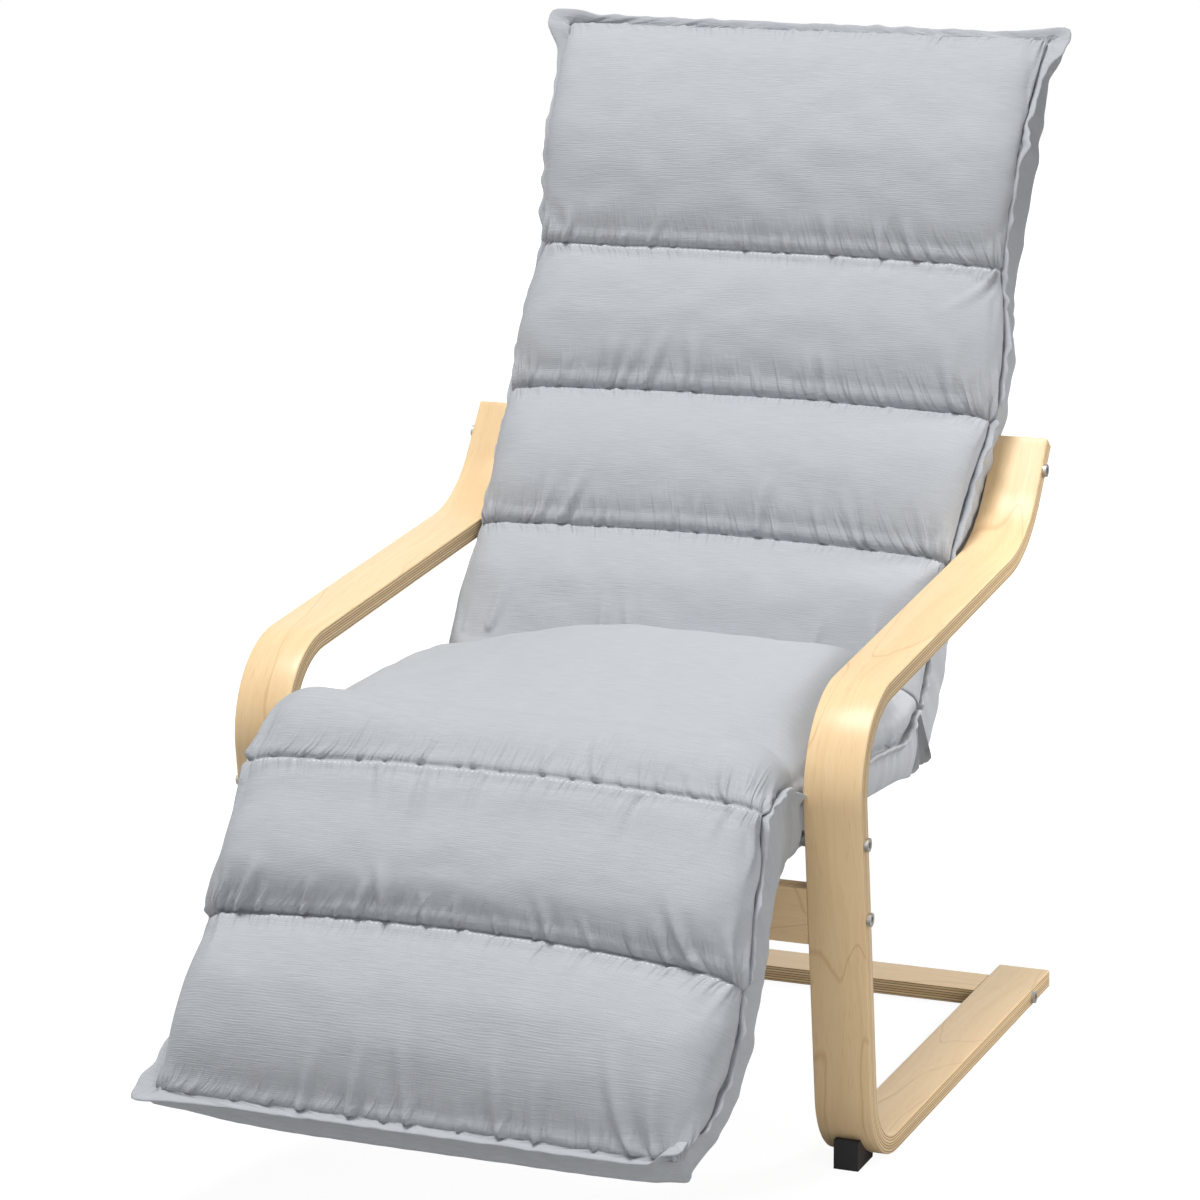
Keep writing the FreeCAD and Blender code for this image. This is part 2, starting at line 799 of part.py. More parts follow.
def head_cushion():
    face = head_angle + 90
    neck = Seam(head_pivot, face, head_under_depth, neck_flange_height, neck_radius, head_half)
    base = go(head_pivot, head_angle, head_block_length)
    top = head_end_height + end_seam_rise
    end = Seam(base, face, head_end_under, head_end_height, top, ear_half)
    block = panel(neck, end, head_crown, head_full_shares, end_depth_shares)
    neck_roll = roll(head_pivot, neck_radius, (face, face + neck_roll_turn), head_half)
    depths = (-neck_radius - overrun, -head_under_depth)
    behind = bar(head_pivot, head_angle, (-neck_radius - overrun, 0), depths)
    neck_roll = neck_roll.cut(prism(behind, -outside, outside))
    outer = tube_offset + tube_radius + frame_gap
    slots = tube_slots(head_pivot, neck_radius, (neck_roll_open, neck_slot_end), outer)
    cavity = end_cavity(head_pivot, head_angle, head_frame_length)
    return cut_all(block.fuse(neck_roll), slots + [cavity] + hinge_spaces(head_pivot))


def leg_cushion():
    face = leg_angle + 90
    knee = Seam(leg_pivot, face, leg_under_depth, leg_flange_height, knee_radius, leg_half)
    base = go(leg_pivot, leg_angle, -calf_seam)
    top = leg_flange_height + seam_rise + calf_seam_lift
    calf = Seam(base, face, leg_under_depth, leg_flange_height, top, calf_half)
    base = go(leg_pivot, leg_angle, -leg_block_length)
    toe = Seam(base, face, -leg_end_under, leg_end_height, leg_end_height + end_seam_rise, toe_half)
    block = panel(knee, calf, leg_crown)
    block = block.fuse(panel(calf, toe, leg_crown, plain_full_shares, end_depth_shares))
    knee_roll = roll(leg_pivot, knee_radius, (knee_roll_start, face), leg_half)
    slots = tube_slots(leg_pivot, knee_radius, (knee_roll_start, knee_roll_open), outside)
    cavity = end_cavity(leg_pivot, leg_angle + 180, leg_frame_length)
    return cut_all(block.fuse(knee_roll), slots + [cavity] + hinge_spaces(leg_pivot))


# Nodes
def build():
    nodes = {}
    bend_reach = seat_bend_radius * math.tan(math.radians(tongue_angle - seat_angle) / 2)
    seat_stretch = (seat_front_cross, distance(leg_pivot, seat_corner) - bend_reach)
    back_stretch = (bend_reach, distance(seat_corner, back_bolt) - strap_width / 2)
    leg_stretch = (end_frame_radius - leg_frame_length, -leg_cross)
    head_stretch = (head_cross, head_frame_length - end_frame_radius)
    left = side_frame()
    nodes["left_side_frame"] = [left]
    nodes["right_side_frame"] = [mirrored(left)]
    nodes["front_rail"] = [front_rail()]
    nodes["floor_rail"] = [floor_rail()]
    foot = wedge_foot()
    nodes["left_front_foot"] = [foot]
    nodes["right_front_foot"] = [mirrored(foot)]
    nodes["foot_screws"] = pair(foot_screw(0))
    nodes["rail_bolts"] = pair(bolt(rail_bolt, bolt_end)) + pair(bolt(floor_bolt, bolt_end))
    frame_bolt_end = tube_offset - tube_radius
    nodes["seat_frame_bolts"] = pair(bolt(seat_bolt, frame_bolt_end))
    nodes["back_frame_bolts"] = pair(bolt(back_bolt, frame_bolt_end))
    nuts = [threaded(front_nut(0), rail_bolt), threaded(floor_nut(0), floor_bolt)]
    nodes["rail_barrel_nuts"] = [copy for nut in nuts for copy in pair(nut)]
    dowels = [dowel(point) for point in front_dowels + floor_dowels]
    nodes["rail_dowels"] = [copy for one in dowels for copy in pair(one)]
    frame_bolts = (seat_bolt, back_bolt)
    nodes["spacer_sleeves"] = [copy for point in frame_bolts for copy in pair(spacer_sleeve(point))]
    bushes = [threaded(threaded_bush(point, 0), point) for point in frame_bolts]
    nodes["threaded_bushes"] = [copy for bush in bushes for copy in pair(bush)]
    left_tube = main_frame_tube()
    nodes["left_frame_tube"] = [left_tube]
    nodes["right_frame_tube"] = [mirrored(left_tube)]
    nodes["seat_cross_tubes"] = [
        cross_tube(leg_pivot, seat_angle, seat_front_cross),
        cross_tube(seat_corner, seat_angle, -seat_rear_cross - seat_bend_radius * half_share),
    ]
    nodes["back_cross_tubes"] = [
        cross_tube(seat_corner, tongue_angle, low_back_cross),
        cross_tube(back_corner, upper_back_angle, top_back_cross),
    ]
    nodes["seat_straps"] = straps(leg_pivot, seat_angle, seat_stretch, seat_straps)
    nodes["back_straps"] = straps(seat_corner, tongue_angle, back_stretch, back_straps)
    nodes["seat_cushion"] = [seat_cushion()]
    nodes["back_cushion"] = [back_cushion()]
    nodes["knee_ratchet_plates"] = pair(ratchet_plate(leg_pivot, seat_angle, knee_teeth_angle, 0))
    nodes["knee_hinge_pins"] = pair(hinge_pin(leg_pivot))
    head_plate = ratchet_plate(head_pivot, upper_back_angle + 180, head_teeth_angle, 0)
    nodes["head_ratchet_plates"] = pair(head_plate)
    nodes["head_hinge_pins"] = pair(hinge_pin(head_pivot))
    nodes.update(end_rest("leg", leg_pivot, leg_angle + 180, leg_frame_length, leg_cross))
    nodes["leg_straps"] = straps(leg_pivot, leg_angle, leg_stretch, leg_straps)
    nodes["leg_cushion"] = [leg_cushion()]
    nodes.update(end_rest("head", head_pivot, head_angle, head_frame_length, head_cross))
    nodes["head_straps"] = straps(head_pivot, head_angle, head_stretch, head_straps)
    nodes["head_cushion"] = [head_cushion()]
    return nodes


# The steel of the leg rest or the head rest, which has the same kind of hinge
def end_rest(name, pivot, angle, length, cross):
    sides = cheeks(pivot, angle, 0)
    return {
        name + "_frame_tube": [end_frame_tube(pivot, angle, length)],
        name + "_cross_tube": [cross_tube(pivot, angle, cross)],
        name + "_hinge_cheeks": [copy for side in sides for copy in pair(side)],
        name + "_pawls": pair(pawl(pivot, angle)),
        name + "_pawl_springs": pair(pawl_spring(pivot, angle)),
        name + "_hinge_rivets": pair(rivet(pivot, angle)),
    }


def write(nodes):
    os.makedirs("parts", exist_ok=True)
    chair = Part.makeCompound([shape for shapes in nodes.values() for shape in shapes])
    box = chair.optimalBoundingBox(False, False)
    floor_middle = Vector(0, mix(box.YMin, box.YMax, half_share), 0)
    for name, shapes in nodes.items():
        solids = [solid for shape in shapes for solid in shape.Solids]
        whole = solids[0] if len(solids) == 1 else Part.makeCompound(solids)
        whole.translate(-floor_middle)
        whole.exportStep("parts/" + name + ".step")
        print(name, len(solids), whole.isValid(), round(whole.Volume))
    print("drawn from a point", floor_middle.y, "mm in front of the origin")
    print("length, width, height:", box.YLength, box.XLength, box.ZMax)


write(build())
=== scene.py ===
# %% [markdown]
# # A bentwood lounge chair with one long cushion
#
# The chair stands on two bent strips of laminated birch. One quilted cushion runs from the
# head to the feet over a hidden steel frame, and folds at the neck and at the knee.
#
# The imported CAD model is the skeleton: it brings the true sizes, the joints and every hard
# part. This script dresses it. It bends the two wooden strips out of straight boards, sews
# the cushion from a pattern, and paints every other part that the CAD model brings.

import json
import math
import random

import bmesh
import bpy
import numpy as np
from mathutils import Matrix, Vector, noise


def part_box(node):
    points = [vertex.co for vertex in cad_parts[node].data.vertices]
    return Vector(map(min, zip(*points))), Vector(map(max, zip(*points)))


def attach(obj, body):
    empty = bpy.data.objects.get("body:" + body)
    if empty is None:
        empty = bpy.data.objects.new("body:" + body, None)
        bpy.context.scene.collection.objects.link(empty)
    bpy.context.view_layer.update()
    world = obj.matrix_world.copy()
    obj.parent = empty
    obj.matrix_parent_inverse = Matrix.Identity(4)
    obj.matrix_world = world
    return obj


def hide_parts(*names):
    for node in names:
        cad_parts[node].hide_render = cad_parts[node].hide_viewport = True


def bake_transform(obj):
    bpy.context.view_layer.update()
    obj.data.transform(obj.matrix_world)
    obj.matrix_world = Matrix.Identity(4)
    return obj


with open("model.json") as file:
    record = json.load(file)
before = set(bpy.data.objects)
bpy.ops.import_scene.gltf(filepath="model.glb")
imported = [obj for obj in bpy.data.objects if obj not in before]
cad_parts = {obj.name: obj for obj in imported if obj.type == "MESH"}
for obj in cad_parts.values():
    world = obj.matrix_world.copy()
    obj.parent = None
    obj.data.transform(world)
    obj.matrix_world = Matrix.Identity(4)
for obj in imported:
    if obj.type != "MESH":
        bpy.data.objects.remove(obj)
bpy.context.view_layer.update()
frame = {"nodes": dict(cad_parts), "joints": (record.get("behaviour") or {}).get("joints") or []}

# %% [markdown]
# ## Places
#
# Everything that gives the chair its shape lies in its side view, so a place is a pair: y
# runs backwards, z runs up, and an angle turns from backwards towards up. The hinges and
# bolts of the CAD model tell where the lines of the steel frame run, and the cushion is
# measured along and above these lines.

# %% The side view
mm = 0.001
runner_length = 640 * mm
leg_angle, seat_angle, back_angle, upper_angle, head_angle = 57.0, -3.3, 53.3, 64.0, 70.0


def go(point, angle, reach):
    turn = math.radians(angle)
    return (point[0] + reach * math.cos(turn), point[1] + reach * math.sin(turn))


def place(point, angle, along, rise):
    return go(go(point, angle, along), angle + 90, rise)


def angle_to(start, end):
    return math.degrees(math.atan2(end[1] - start[1], end[0] - start[0]))


def crossing(first, first_angle, second, second_angle):
    a, b = math.radians(first_angle), math.radians(second_angle)
    across = (second[0] - first[0]) * math.sin(b) - (second[1] - first[1]) * math.cos(b)
    return go(first, first_angle, across / math.sin(b - a))


def middle_of(node):
    low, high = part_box(node)
    return ((low.y + high.y) / 2, (low.z + high.z) / 2)


joint_at = {joint["name"]: joint["pos_m"][1:] for joint in frame["joints"]}
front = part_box("left_side_frame")[1].y - runner_length
knee = tuple(joint_at["leg_rest_hinge"])
neck = tuple(joint_at["headrest_hinge"])
back_bolt = middle_of("back_frame_bolts")
hip = crossing(knee, seat_angle, back_bolt, back_angle)
shoulder = crossing(back_bolt, back_angle, neck, upper_angle)
print("knee", knee, "hip", hip, "shoulder", shoulder, "neck", neck)

# %% [markdown]
# ## Camera
#
# The camera stands low and to the sitter's left, about four metres away, with a long lens,
# so that the chair has little perspective. A camera could be turned with three Euler angles,
# but here its three axes are built one after another from the way it looks and a very small
# roll, because they are easier to check than angles are.


# %% The camera
def direction(turn, height):
    a, b = math.radians(turn), math.radians(height)
    return Vector((math.sin(a) * math.cos(b), -math.cos(a) * math.cos(b), math.sin(b)))


view_turn, view_height, view_roll = 22.198, 12.847, -0.323
view_distance, view_lens = 4.1674, 120.467
view_target = Vector((-0.0133, front + 0.1501, 0.5298))

turn, roll = math.radians(view_turn), math.radians(view_roll)
backwards = direction(view_turn, view_height)
level = Vector((math.cos(turn), math.sin(turn), 0))
upright = backwards.cross(level)
right_axis = math.cos(roll) * level + math.sin(roll) * upright
up_axis = math.cos(roll) * upright - math.sin(roll) * level

camera = bpy.data.objects.new("camera", bpy.data.cameras.new("camera"))
camera.data.lens = view_lens
camera.data.clip_end = 50
turned = Matrix((right_axis, up_axis, backwards)).transposed().to_4x4()
camera.matrix_world = Matrix.Translation(view_target + view_distance * backwards) @ turned
bpy.context.scene.collection.objects.link(camera)
bpy.context.scene.camera = camera
bpy.context.scene.view_settings.view_transform = "Standard"
print("camera at", tuple(round(value, 3) for value in camera.matrix_world.translation))

# %% [markdown]
# ## Shaders as sums
#
# A finish is worked out with nodes. Writing them one by one is long, so a `Wire` stands
# for one output socket and knows how to be added, multiplied and so on: an expression such
# as `1 - mask * 2` makes the Math nodes that it needs.


# %% Wires
class Wire:
    def __init__(self, nodes, socket):
        self.nodes = nodes
        self.socket = socket

    def math(self, operation, *others):
        return self.nodes.node("ShaderNodeMath", {"operation": operation}, [self, *others])

    def dot(self, direction):
        settings = {"operation": "DOT_PRODUCT"}
        return self.nodes.node("ShaderNodeVectorMath", settings, [self, direction], "Value")

    def __add__(self, other):
        return self.math("ADD", other)

    def __sub__(self, other):
        return self.math("SUBTRACT", other)

    def __rsub__(self, other):
        return self.nodes.node("ShaderNodeMath", {"operation": "SUBTRACT"}, [other, self])

    def __mul__(self, other):
        return self.math("MULTIPLY", other)

    def __truediv__(self, other):
        return self.math("DIVIDE", other)

    __radd__ = __add__
    __rmul__ = __mul__


# %% [markdown]
# `Nodes` holds the node tree of a material or of the sky. Its `node` method makes every
# other kind of node: it takes the type, the settings, which are set first, and then the
# values or wires of its sockets.


# %% Node trees
class Nodes:
    def __init__(self, tree):
        self.tree = tree

    def node(self, kind, settings=None, inputs=(), output=0):
        made = self.tree.nodes.new(kind)
        for name, value in (settings or {}).items():
            if name == "stops":
                self.set_stops(made.color_ramp, value)
            else:
                setattr(made, name, value)
        pairs = inputs.items() if isinstance(inputs, dict) else enumerate(inputs)
        for key, value in pairs:
            self.connect(value, made.inputs[key])
        return Wire(self, made.outputs[output]) if made.outputs else made

    def set_stops(self, ramp, stops):
        while len(ramp.elements) < len(stops):
            ramp.elements.new(1)
        for element, (position, shade) in zip(ramp.elements, stops):
            element.position = position
            element.color = (shade, shade, shade, 1)

    def connect(self, value, socket):
        if isinstance(value, Wire):
            self.tree.links.new(value.socket, socket)
        else:
            socket.default_value = value


# %% [markdown]
# A `Paint` is the tree of one material with a Principled shader. The steps that every finish
# needs are its methods: where a point lies, a noise, a ramp, a mix of two colours, a bump.


# %% Paints
class Paint(Nodes):
    def __init__(self, name, colour, roughness, **fixed):
        self.material = bpy.data.materials.new(name)
        self.material.use_nodes = True
        super().__init__(self.material.node_tree)
        self.shader = self.tree.nodes["Principled BSDF"]
        self.shader.inputs["Base Color"].default_value = (*colour, 1)
        self.shader.inputs["Roughness"].default_value = roughness
        self.material.diffuse_color = (*colour, 1)
        for socket, value in fixed.items():
            self.shader.inputs[socket.replace("_", " ")].default_value = value

    def feed(self, socket, value):
        self.connect(value, self.shader.inputs[socket])

    def place(self):
        return self.node("ShaderNodeTexCoord", output="Object")

    def map(self, name):
        return self.node("ShaderNodeUVMap", {"uv_map": name})

    def split(self, vector):
        first = self.node("ShaderNodeSeparateXYZ", inputs=[vector])
        return [Wire(self, socket) for socket in first.socket.node.outputs]

    def join(self, x, y, z=0.0):
        return self.node("ShaderNodeCombineXYZ", inputs=[x, y, z])

    def noise(self, vector, scale, detail=2.0, roughness=0.5):
        inputs = {"Vector": vector, "Scale": scale, "Detail": detail, "Roughness": roughness}
        return self.node("ShaderNodeTexNoise", inputs=inputs)

    def ramp(self, value, *stops):
        return self.node("ShaderNodeValToRGB", {"stops": stops}, [value])

    def mix(self, share, first, second):
        inputs = {0: share, 6: self.colour(first), 7: self.colour(second)}
        return self.node("ShaderNodeMix", {"data_type": "RGBA"}, inputs, output=2)

    def colour(self, value):
        return value if isinstance(value, Wire) else (*value, 1)

    def bump(self, height, distance, strength=1.0):
        inputs = {"Height": height, "Distance": distance, "Strength": strength}
        return self.node("ShaderNodeBump", inputs=inputs)


# %% [markdown]
# ## Birch
#
# A laminated strip shows two faces. Its broad faces are one sheet of birch veneer: pale,
# with long soft streaks, a few darker flames, tiny pores along the strip, and thin brown
# rings where the knife crossed the year rings of the tree. Noises that are stretched along
# the strip draw all of these. A picture of wood would be quicker, but it would repeat.

# %% Veneer
pale_birch, warm_birch, brown_birch = (0.89, 0.66, 0.385), (0.77, 0.51, 0.25), (0.52, 0.25, 0.075)
grain_depth = 0.15 * mm


def veneer_colour(paint, along, across):
    drift = paint.noise(paint.join(along * 1.3, across * 6), 3.0, 3.0) * 0.055
    lines = paint.noise(paint.join(along * 2.5, (across + drift) * 95), 1.6, 4.0, 0.62)
    flames = paint.noise(paint.join(along * 1.1, (across + drift) * 16), 2.3, 1.0)
    pores = paint.noise(paint.join(along * 40, across * 900), 1.0, 1.0)
    streak = paint.ramp(lines, (0.38, 0.0), (0.72, 1.0))
    flame = paint.ramp(flames, (0.50, 0.0), (0.66, 1.0))
    dots = paint.ramp(pores, (0.62, 0.0), (0.70, 1.0))
    figure = paint.noise(paint.join(along * 1.5, (across + drift) * 7 + 3), 1.0, 2.0, 0.4) * 9
    ring = paint.ramp(figure.math("PINGPONG", 0.5), (0.0, 1.0), (0.035, 0.0))
    colour = paint.mix(streak * 0.40, pale_birch, warm_birch)
    colour = paint.mix(flame * 0.25, colour, warm_birch)
    colour = paint.mix(ring * 0.34, colour, brown_birch)
    return paint.mix(dots * 0.20, colour, brown_birch), streak * 0.6 + dots * 0.4


# %% [markdown]
# The edges of the strip show the sheets themselves, one above another, with a thin brown
# glue line between each pair. The depth into the strip, counted in sheets, says how far a
# point is from the next glue line, and which sheet it belongs to, so that each sheet has a
# shade of its own.

# %% Ply
sheet_thickness = 2.9 * mm
light_sheet, dark_sheet, glue_brown = (0.92, 0.71, 0.42), (0.66, 0.43, 0.21), (0.16, 0.08, 0.035)


def ply_colour(paint, along, across, depth):
    waver = paint.noise(paint.join(along * 9, across * 9), 4.0) * (0.5 * mm)
    layer = (depth + waver) / sheet_thickness
    glue = paint.ramp(layer.math("PINGPONG", 0.5), (0.0, 1.0), (0.09, 0.95), (0.16, 0.0))
    sheet = {"W": layer.math("FLOOR")}
    shade = paint.node("ShaderNodeTexWhiteNoise", {"noise_dimensions": "1D"}, sheet)
    fibres = paint.noise(paint.join(along * 60, depth * 1500, across * 200), 1.0, 3.0)
    colour = paint.mix(shade * 0.6, light_sheet, dark_sheet)
    colour = paint.mix(fibres * 0.15, colour, brown_birch)
    return paint.mix(glue * 0.95, colour, glue_brown), 1 - glue


def lacquered(paint, colour, height):
    paint.feed("Base Color", colour)
    paint.feed("Roughness", height * 0.08 + 0.32)
    paint.feed("Normal", paint.bump(height, grain_depth, 0.3))


def strip_paints():
    satin = {"Specular_IOR_Level": 0.3, "Coat_Weight": 0.12, "Coat_Roughness": 0.35}
    broad = Paint("birch_veneer", pale_birch, 0.5, **satin)
    along = broad.split(broad.map("grain"))[0]
    across = broad.split(broad.place())[0]
    lacquered(broad, *veneer_colour(broad, along, across))
    edge = Paint("birch_ply_edge", warm_birch, 0.5, Specular_IOR_Level=0.25)
    along, depth, _ = edge.split(edge.map("grain"))
    across = edge.split(edge.place())[0]
    lacquered(edge, *ply_colour(edge, along, across, depth))
    return [broad, edge]


wood = strip_paints()
print("the edge of a strip shows about", round(20 * mm / sheet_thickness), "sheets")

# %% [markdown]
# ## Bending the side frames
#
# The real strip starts as a straight, flat stack of veneers that a press bends round three
# formers. The script does the same: a straight board with rounded edges is cut into short
# lengths, and then every point is carried to the same distance along the bent line and the
# same depth under it. Because the map was laid on the straight board, the grain and the
# glue lines follow the bends.

# %% The bent line
strip_corners = [(runner_length, 0.0), (0.0, 0.0), (-61 * mm, 491 * mm), (510 * mm, 545 * mm)]
strip_corners.append(go(strip_corners[-1], back_angle, 128 * mm))
bend_radii = (87 * mm, 101 * mm, 137 * mm)


def bent_line(corners, radii):
    stretches = []
    start = corners[0]
    for before, corner, after, radius in zip(corners, corners[1:], corners[2:], radii):
        angle_in, angle_out = angle_to(before, corner), angle_to(corner, after)
        bend = (angle_out - angle_in + 180) % 360 - 180
        tangent = radius * math.tan(math.radians(abs(bend)) / 2)
        first = go(corner, angle_in, -tangent)
        stretches.append((math.dist(start, first), start, angle_in, 0.0))
        stretches.append((radius * math.radians(abs(bend)), first, angle_in, bend))
        start = go(corner, angle_out, tangent)
    stretches.append((math.dist(start, corners[-1]), start, angle_out, 0.0))
    return stretches


def on_bent_line(stretches, along, depth):
    for length, start, angle, bend in stretches[:-1]:
        if along <= length:
            break
        along -= length
    else:
        length, start, angle, bend = stretches[-1]
    if bend == 0:
        return place(start, angle, along, -depth)
    side = math.copysign(90, bend)
    radius = length / math.radians(abs(bend))
    centre = go(start, angle + side, radius)
    heading = angle + bend * along / length
    return go(centre, heading - side, radius + math.copysign(depth, bend))


strip_line = bent_line(strip_corners, bend_radii)
strip_length = sum(stretch[0] for stretch in strip_line)
print("each side frame is bent from", round(strip_length, 3), "m of board")


# %% [markdown]
# The board starts as a box whose long edges are rounded with a bevel. It needs many short
# lengths, because a straight face can't bend. The map of the grain is laid on it while it is
# still straight: its first number runs along the board and its second into its depth.


# %% A straight board
def board(length, width, thickness, edge, pieces):
    mesh = bmesh.new()
    bmesh.ops.create_cube(mesh, size=1)
    bmesh.ops.scale(mesh, vec=(width, length, thickness), verts=mesh.verts)
    bmesh.ops.translate(mesh, vec=(0, length / 2, thickness / 2), verts=mesh.verts)
    settings = {"segments": 3, "profile": 0.5, "affect": "EDGES", "material": -1}
    bmesh.ops.bevel(mesh, geom=mesh.edges[:], offset=edge, **settings)
    lengthwise = [e for e in mesh.edges if abs(e.verts[0].co.y - e.verts[1].co.y) > length / 2]
    bmesh.ops.subdivide_edges(mesh, edges=lengthwise, cuts=pieces, use_grid_fill=True)
    grain = mesh.loops.layers.uv.new("grain")
    for face in mesh.faces:
        face.smooth = True
        face.material_index = 1 if abs(face.normal.z) < 0.5 else 0
        for loop in face.loops:
            loop[grain].uv = (loop.vert.co.y, loop.vert.co.z)
    return mesh


def finished(mesh, name, paints, sharp=40):
    data = bpy.data.meshes.new(name)
    mesh.to_mesh(data)
    mesh.free()
    data.set_sharp_from_angle(angle=math.radians(sharp))
    made = bpy.data.objects.new(name, data)
    bpy.context.scene.collection.objects.link(made)
    for paint in paints:
        data.materials.append(paint.material)
    return made


# %% [markdown]
# Each point of the board is carried to the bent line, and its width is set by the solid of
# the CAD model that it stands for. The bent board then takes the place of that solid.

# %% The side frames
strip_thickness, strip_rounding, strip_pieces = 20 * mm, 1.8 * mm, 330


def side_frame(node, paints):
    low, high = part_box(node)
    width = high.x - low.x
    mesh = board(strip_length, width, strip_thickness, strip_rounding, strip_pieces)
    for vertex in mesh.verts:
        x, along, depth = vertex.co
        y, z = on_bent_line(strip_line, along, depth)
        vertex.co = ((low.x + high.x) / 2 + x, front + y, z)
    bmesh.ops.recalc_face_normals(mesh, faces=mesh.faces[:])
    made = finished(mesh, node + "_strip", paints)
    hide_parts(node)
    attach(made, "frame")
    return made


for node in ("left_side_frame", "right_side_frame"):
    strip = side_frame(node, wood)
    print(strip.name, len(strip.data.polygons), "faces")

# %% [markdown]
# ## Cutting the cushion
#
# The cushion is a long quilt: plump panels between stitched seams, with a pinched flange
# all round. It could be sculpted, but then neither its seams nor its weave would lie where
# cloth puts them. So it is cut as a pattern: a table says, for stations down the chair,
# where the flange runs, which way the front of the quilt faces, how plump it is above the
# flange, how much of that is lost towards the sides, where its back lies, and how wide it
# is to the left and right. Lengths are in millimetres. The numbers were read off the photo
# with the solved camera.

# %% The pattern of the back and head
lines = {
    "leg": (knee, leg_angle),
    "seat": (knee, seat_angle),
    "back": (hip, back_angle),
    "upper": (shoulder, upper_angle),
    "head": (neck, head_angle),
}

# line, along, rise, facing, plump, less at sides, rear along, rear rise, left, right
back_stations = [
    ("back", 38.8, 53.1, 125.0, 52, 8, 6, -46, 274, 274),
    ("back", 80.0, 53.5, 134.0, 54, 8, 62, -53, 274, 274),
    ("back", 140.0, 54.0, 141.0, 60, 8, 135, -40, 275, 275),
    ("back", 212.6, 54.1, 143.3, 58, 8, 212, -34, 276, 276),
    ("back", 302.8, 50.3, 144.0, 60, 8, 303, -34, 280, 280),
    ("back", 394.2, 44.8, 147.0, 60, 8, 392, -34, 288, 288),
    ("upper", 42.9, 52.1, 153.0, 56, 8, 43, -36, 286, 286),
    ("upper", 122.2, 62.9, 157.0, 48, 8, 110, -37, 276, 276),
    ("head", -3.8, 75.8, 160.0, 42, 8, -6, -37, 278, 278),
    ("head", 69.5, 79.0, 160.0, 42, 8, 70, -37, 282, 282),
    ("head", 140.0, 63.0, 160.0, 42, 8, 140, -38, 283, 283),
    ("head", 178.0, 53.0, 160.0, 42, 8, 180, -38, 286, 286),
    ("head", 206.0, 43.0, 160.0, 42, 8, 206, -33, 289, 289),
]
# station, how high the seam lies at the sides, how much higher in the middle, rounding
# and how far the seam bows along the chair at the left, the middle and the right
back_seams = [
    (0, 40, 0, 70, (0, 0, 0)),
    (3, 7, 10, 90, (-4, 3, -9)),
    (5, 7, 10, 90, (-9, -2, -10)),
    (7, 6, 10, 92, (0, 0, -6)),
    (12, 2, 0, 92, (0, 0, 0)),
]
print("back and head:", len(back_stations), "stations,", len(back_seams), "seams")

# %% [markdown]
# The seat and the leg rest are the second quilt. It starts in the fold between seat and back,
# bends over the knee, where a plump panel hides the hinge, and ends at the toes. Left and
# right differ a little, because the cushion on the photo isn't quite straight.

# %% The pattern of the seat and leg rest
seat_stations = [
    ("seat", 431.9, 61.6, 125.0, 66, 10, 451, -24, 274, 274),
    ("seat", 390.3, 36.2, 112.0, 108, 16, 405, -20, 274, 274),
    ("seat", 330.0, 36.0, 94.0, 123, 10, 335, -20, 273, 273),
    ("seat", 220.0, 36.4, 86.7, 119, 10, 220, -20, 272, 272),
    ("seat", 120.0, 38.0, 86.7, 92, 12, 120, -23, 271, 271),
    ("seat", 49.4, 41.5, 88.0, 70, 12, 58, -27, 270, 278),
    ("leg", 47.2, 40.5, 100.0, 62, 8, -14, -38, 268, 280),
    ("leg", 28.0, 64.0, 122.0, 58, 8, -30, -30, 267, 281),
    ("leg", 3.9, 85.2, 145.0, 44, 8, -52, -26, 268, 282),
    ("leg", -41.8, 71.0, 147.0, 60, 8, -78, -25, 270, 285),
    ("leg", -78.9, 73.1, 147.0, 62, 8, -105, -25, 274, 288),
    ("leg", -126.5, 63.7, 147.0, 68, 8, -135, -27, 278, 288),
    ("leg", -168.7, 58.9, 147.0, 72, 8, -170, -28, 283, 288),
    ("leg", -218.5, 49.3, 147.0, 83, 8, -219, -28, 287, 287),
    ("leg", -273.8, 61.0, 147.0, 74, 8, -272, -18, 290, 282),
    ("leg", -330.0, 78.5, 147.0, 52, 8, -346, 32, 290, 276),
]
seat_seams = [
    (0, 40, 0, 70, (0, 0, 0)),
    (8, 8, 18, 74, (0, -14, -4)),
    (12, 8, 26, 68, (-16, -30, -7)),
    (15, 2, 0, 112, (0, 0, 0)),
]
print("seat and leg rest:", len(seat_stations), "stations,", len(seat_seams), "seams")

# %% [markdown]
# Between the stations the numbers have to flow. `pattern` turns a table into places,
# `smooth_rows` draws a smooth curve through them, and `spaced` sets the rows of the grid:
# close together beside a seam, and wide apart in a panel, where little happens.


# %% Smooth curves through the stations
def pattern(stations):
    points, rears, rest = [], [], []
    for line, along, rise, facing, plump, less, rear_along, rear_rise, left, right in stations:
        points.append(place(*lines[line], along * mm, rise * mm))
        rears.append(place(*lines[line], rear_along * mm, rear_rise * mm))
        rest.append((facing, plump * mm, less * mm, left * mm, right * mm))
    steps = [math.dist(a, b) for a, b in zip(points, points[1:])]
    return np.concatenate(([0.0], np.cumsum(steps))), np.hstack((points, rears, rest))


def smooth_rows(marks, rows, where):
    slopes = np.gradient(rows, marks, axis=0)
    index = np.clip(np.searchsorted(marks, where) - 1, 0, len(marks) - 2)
    width = (marks[index + 1] - marks[index])[:, None]
    t = (where - marks[index])[:, None] / width
    first, last = rows[index], rows[index + 1]
    slope_in, slope_out = slopes[index] * width, slopes[index + 1] * width
    bend = 3 * (last - first) - 2 * slope_in - slope_out
    return first + t * slope_in + t**2 * bend + t**3 * (slope_in + slope_out - 2 * (last - first))


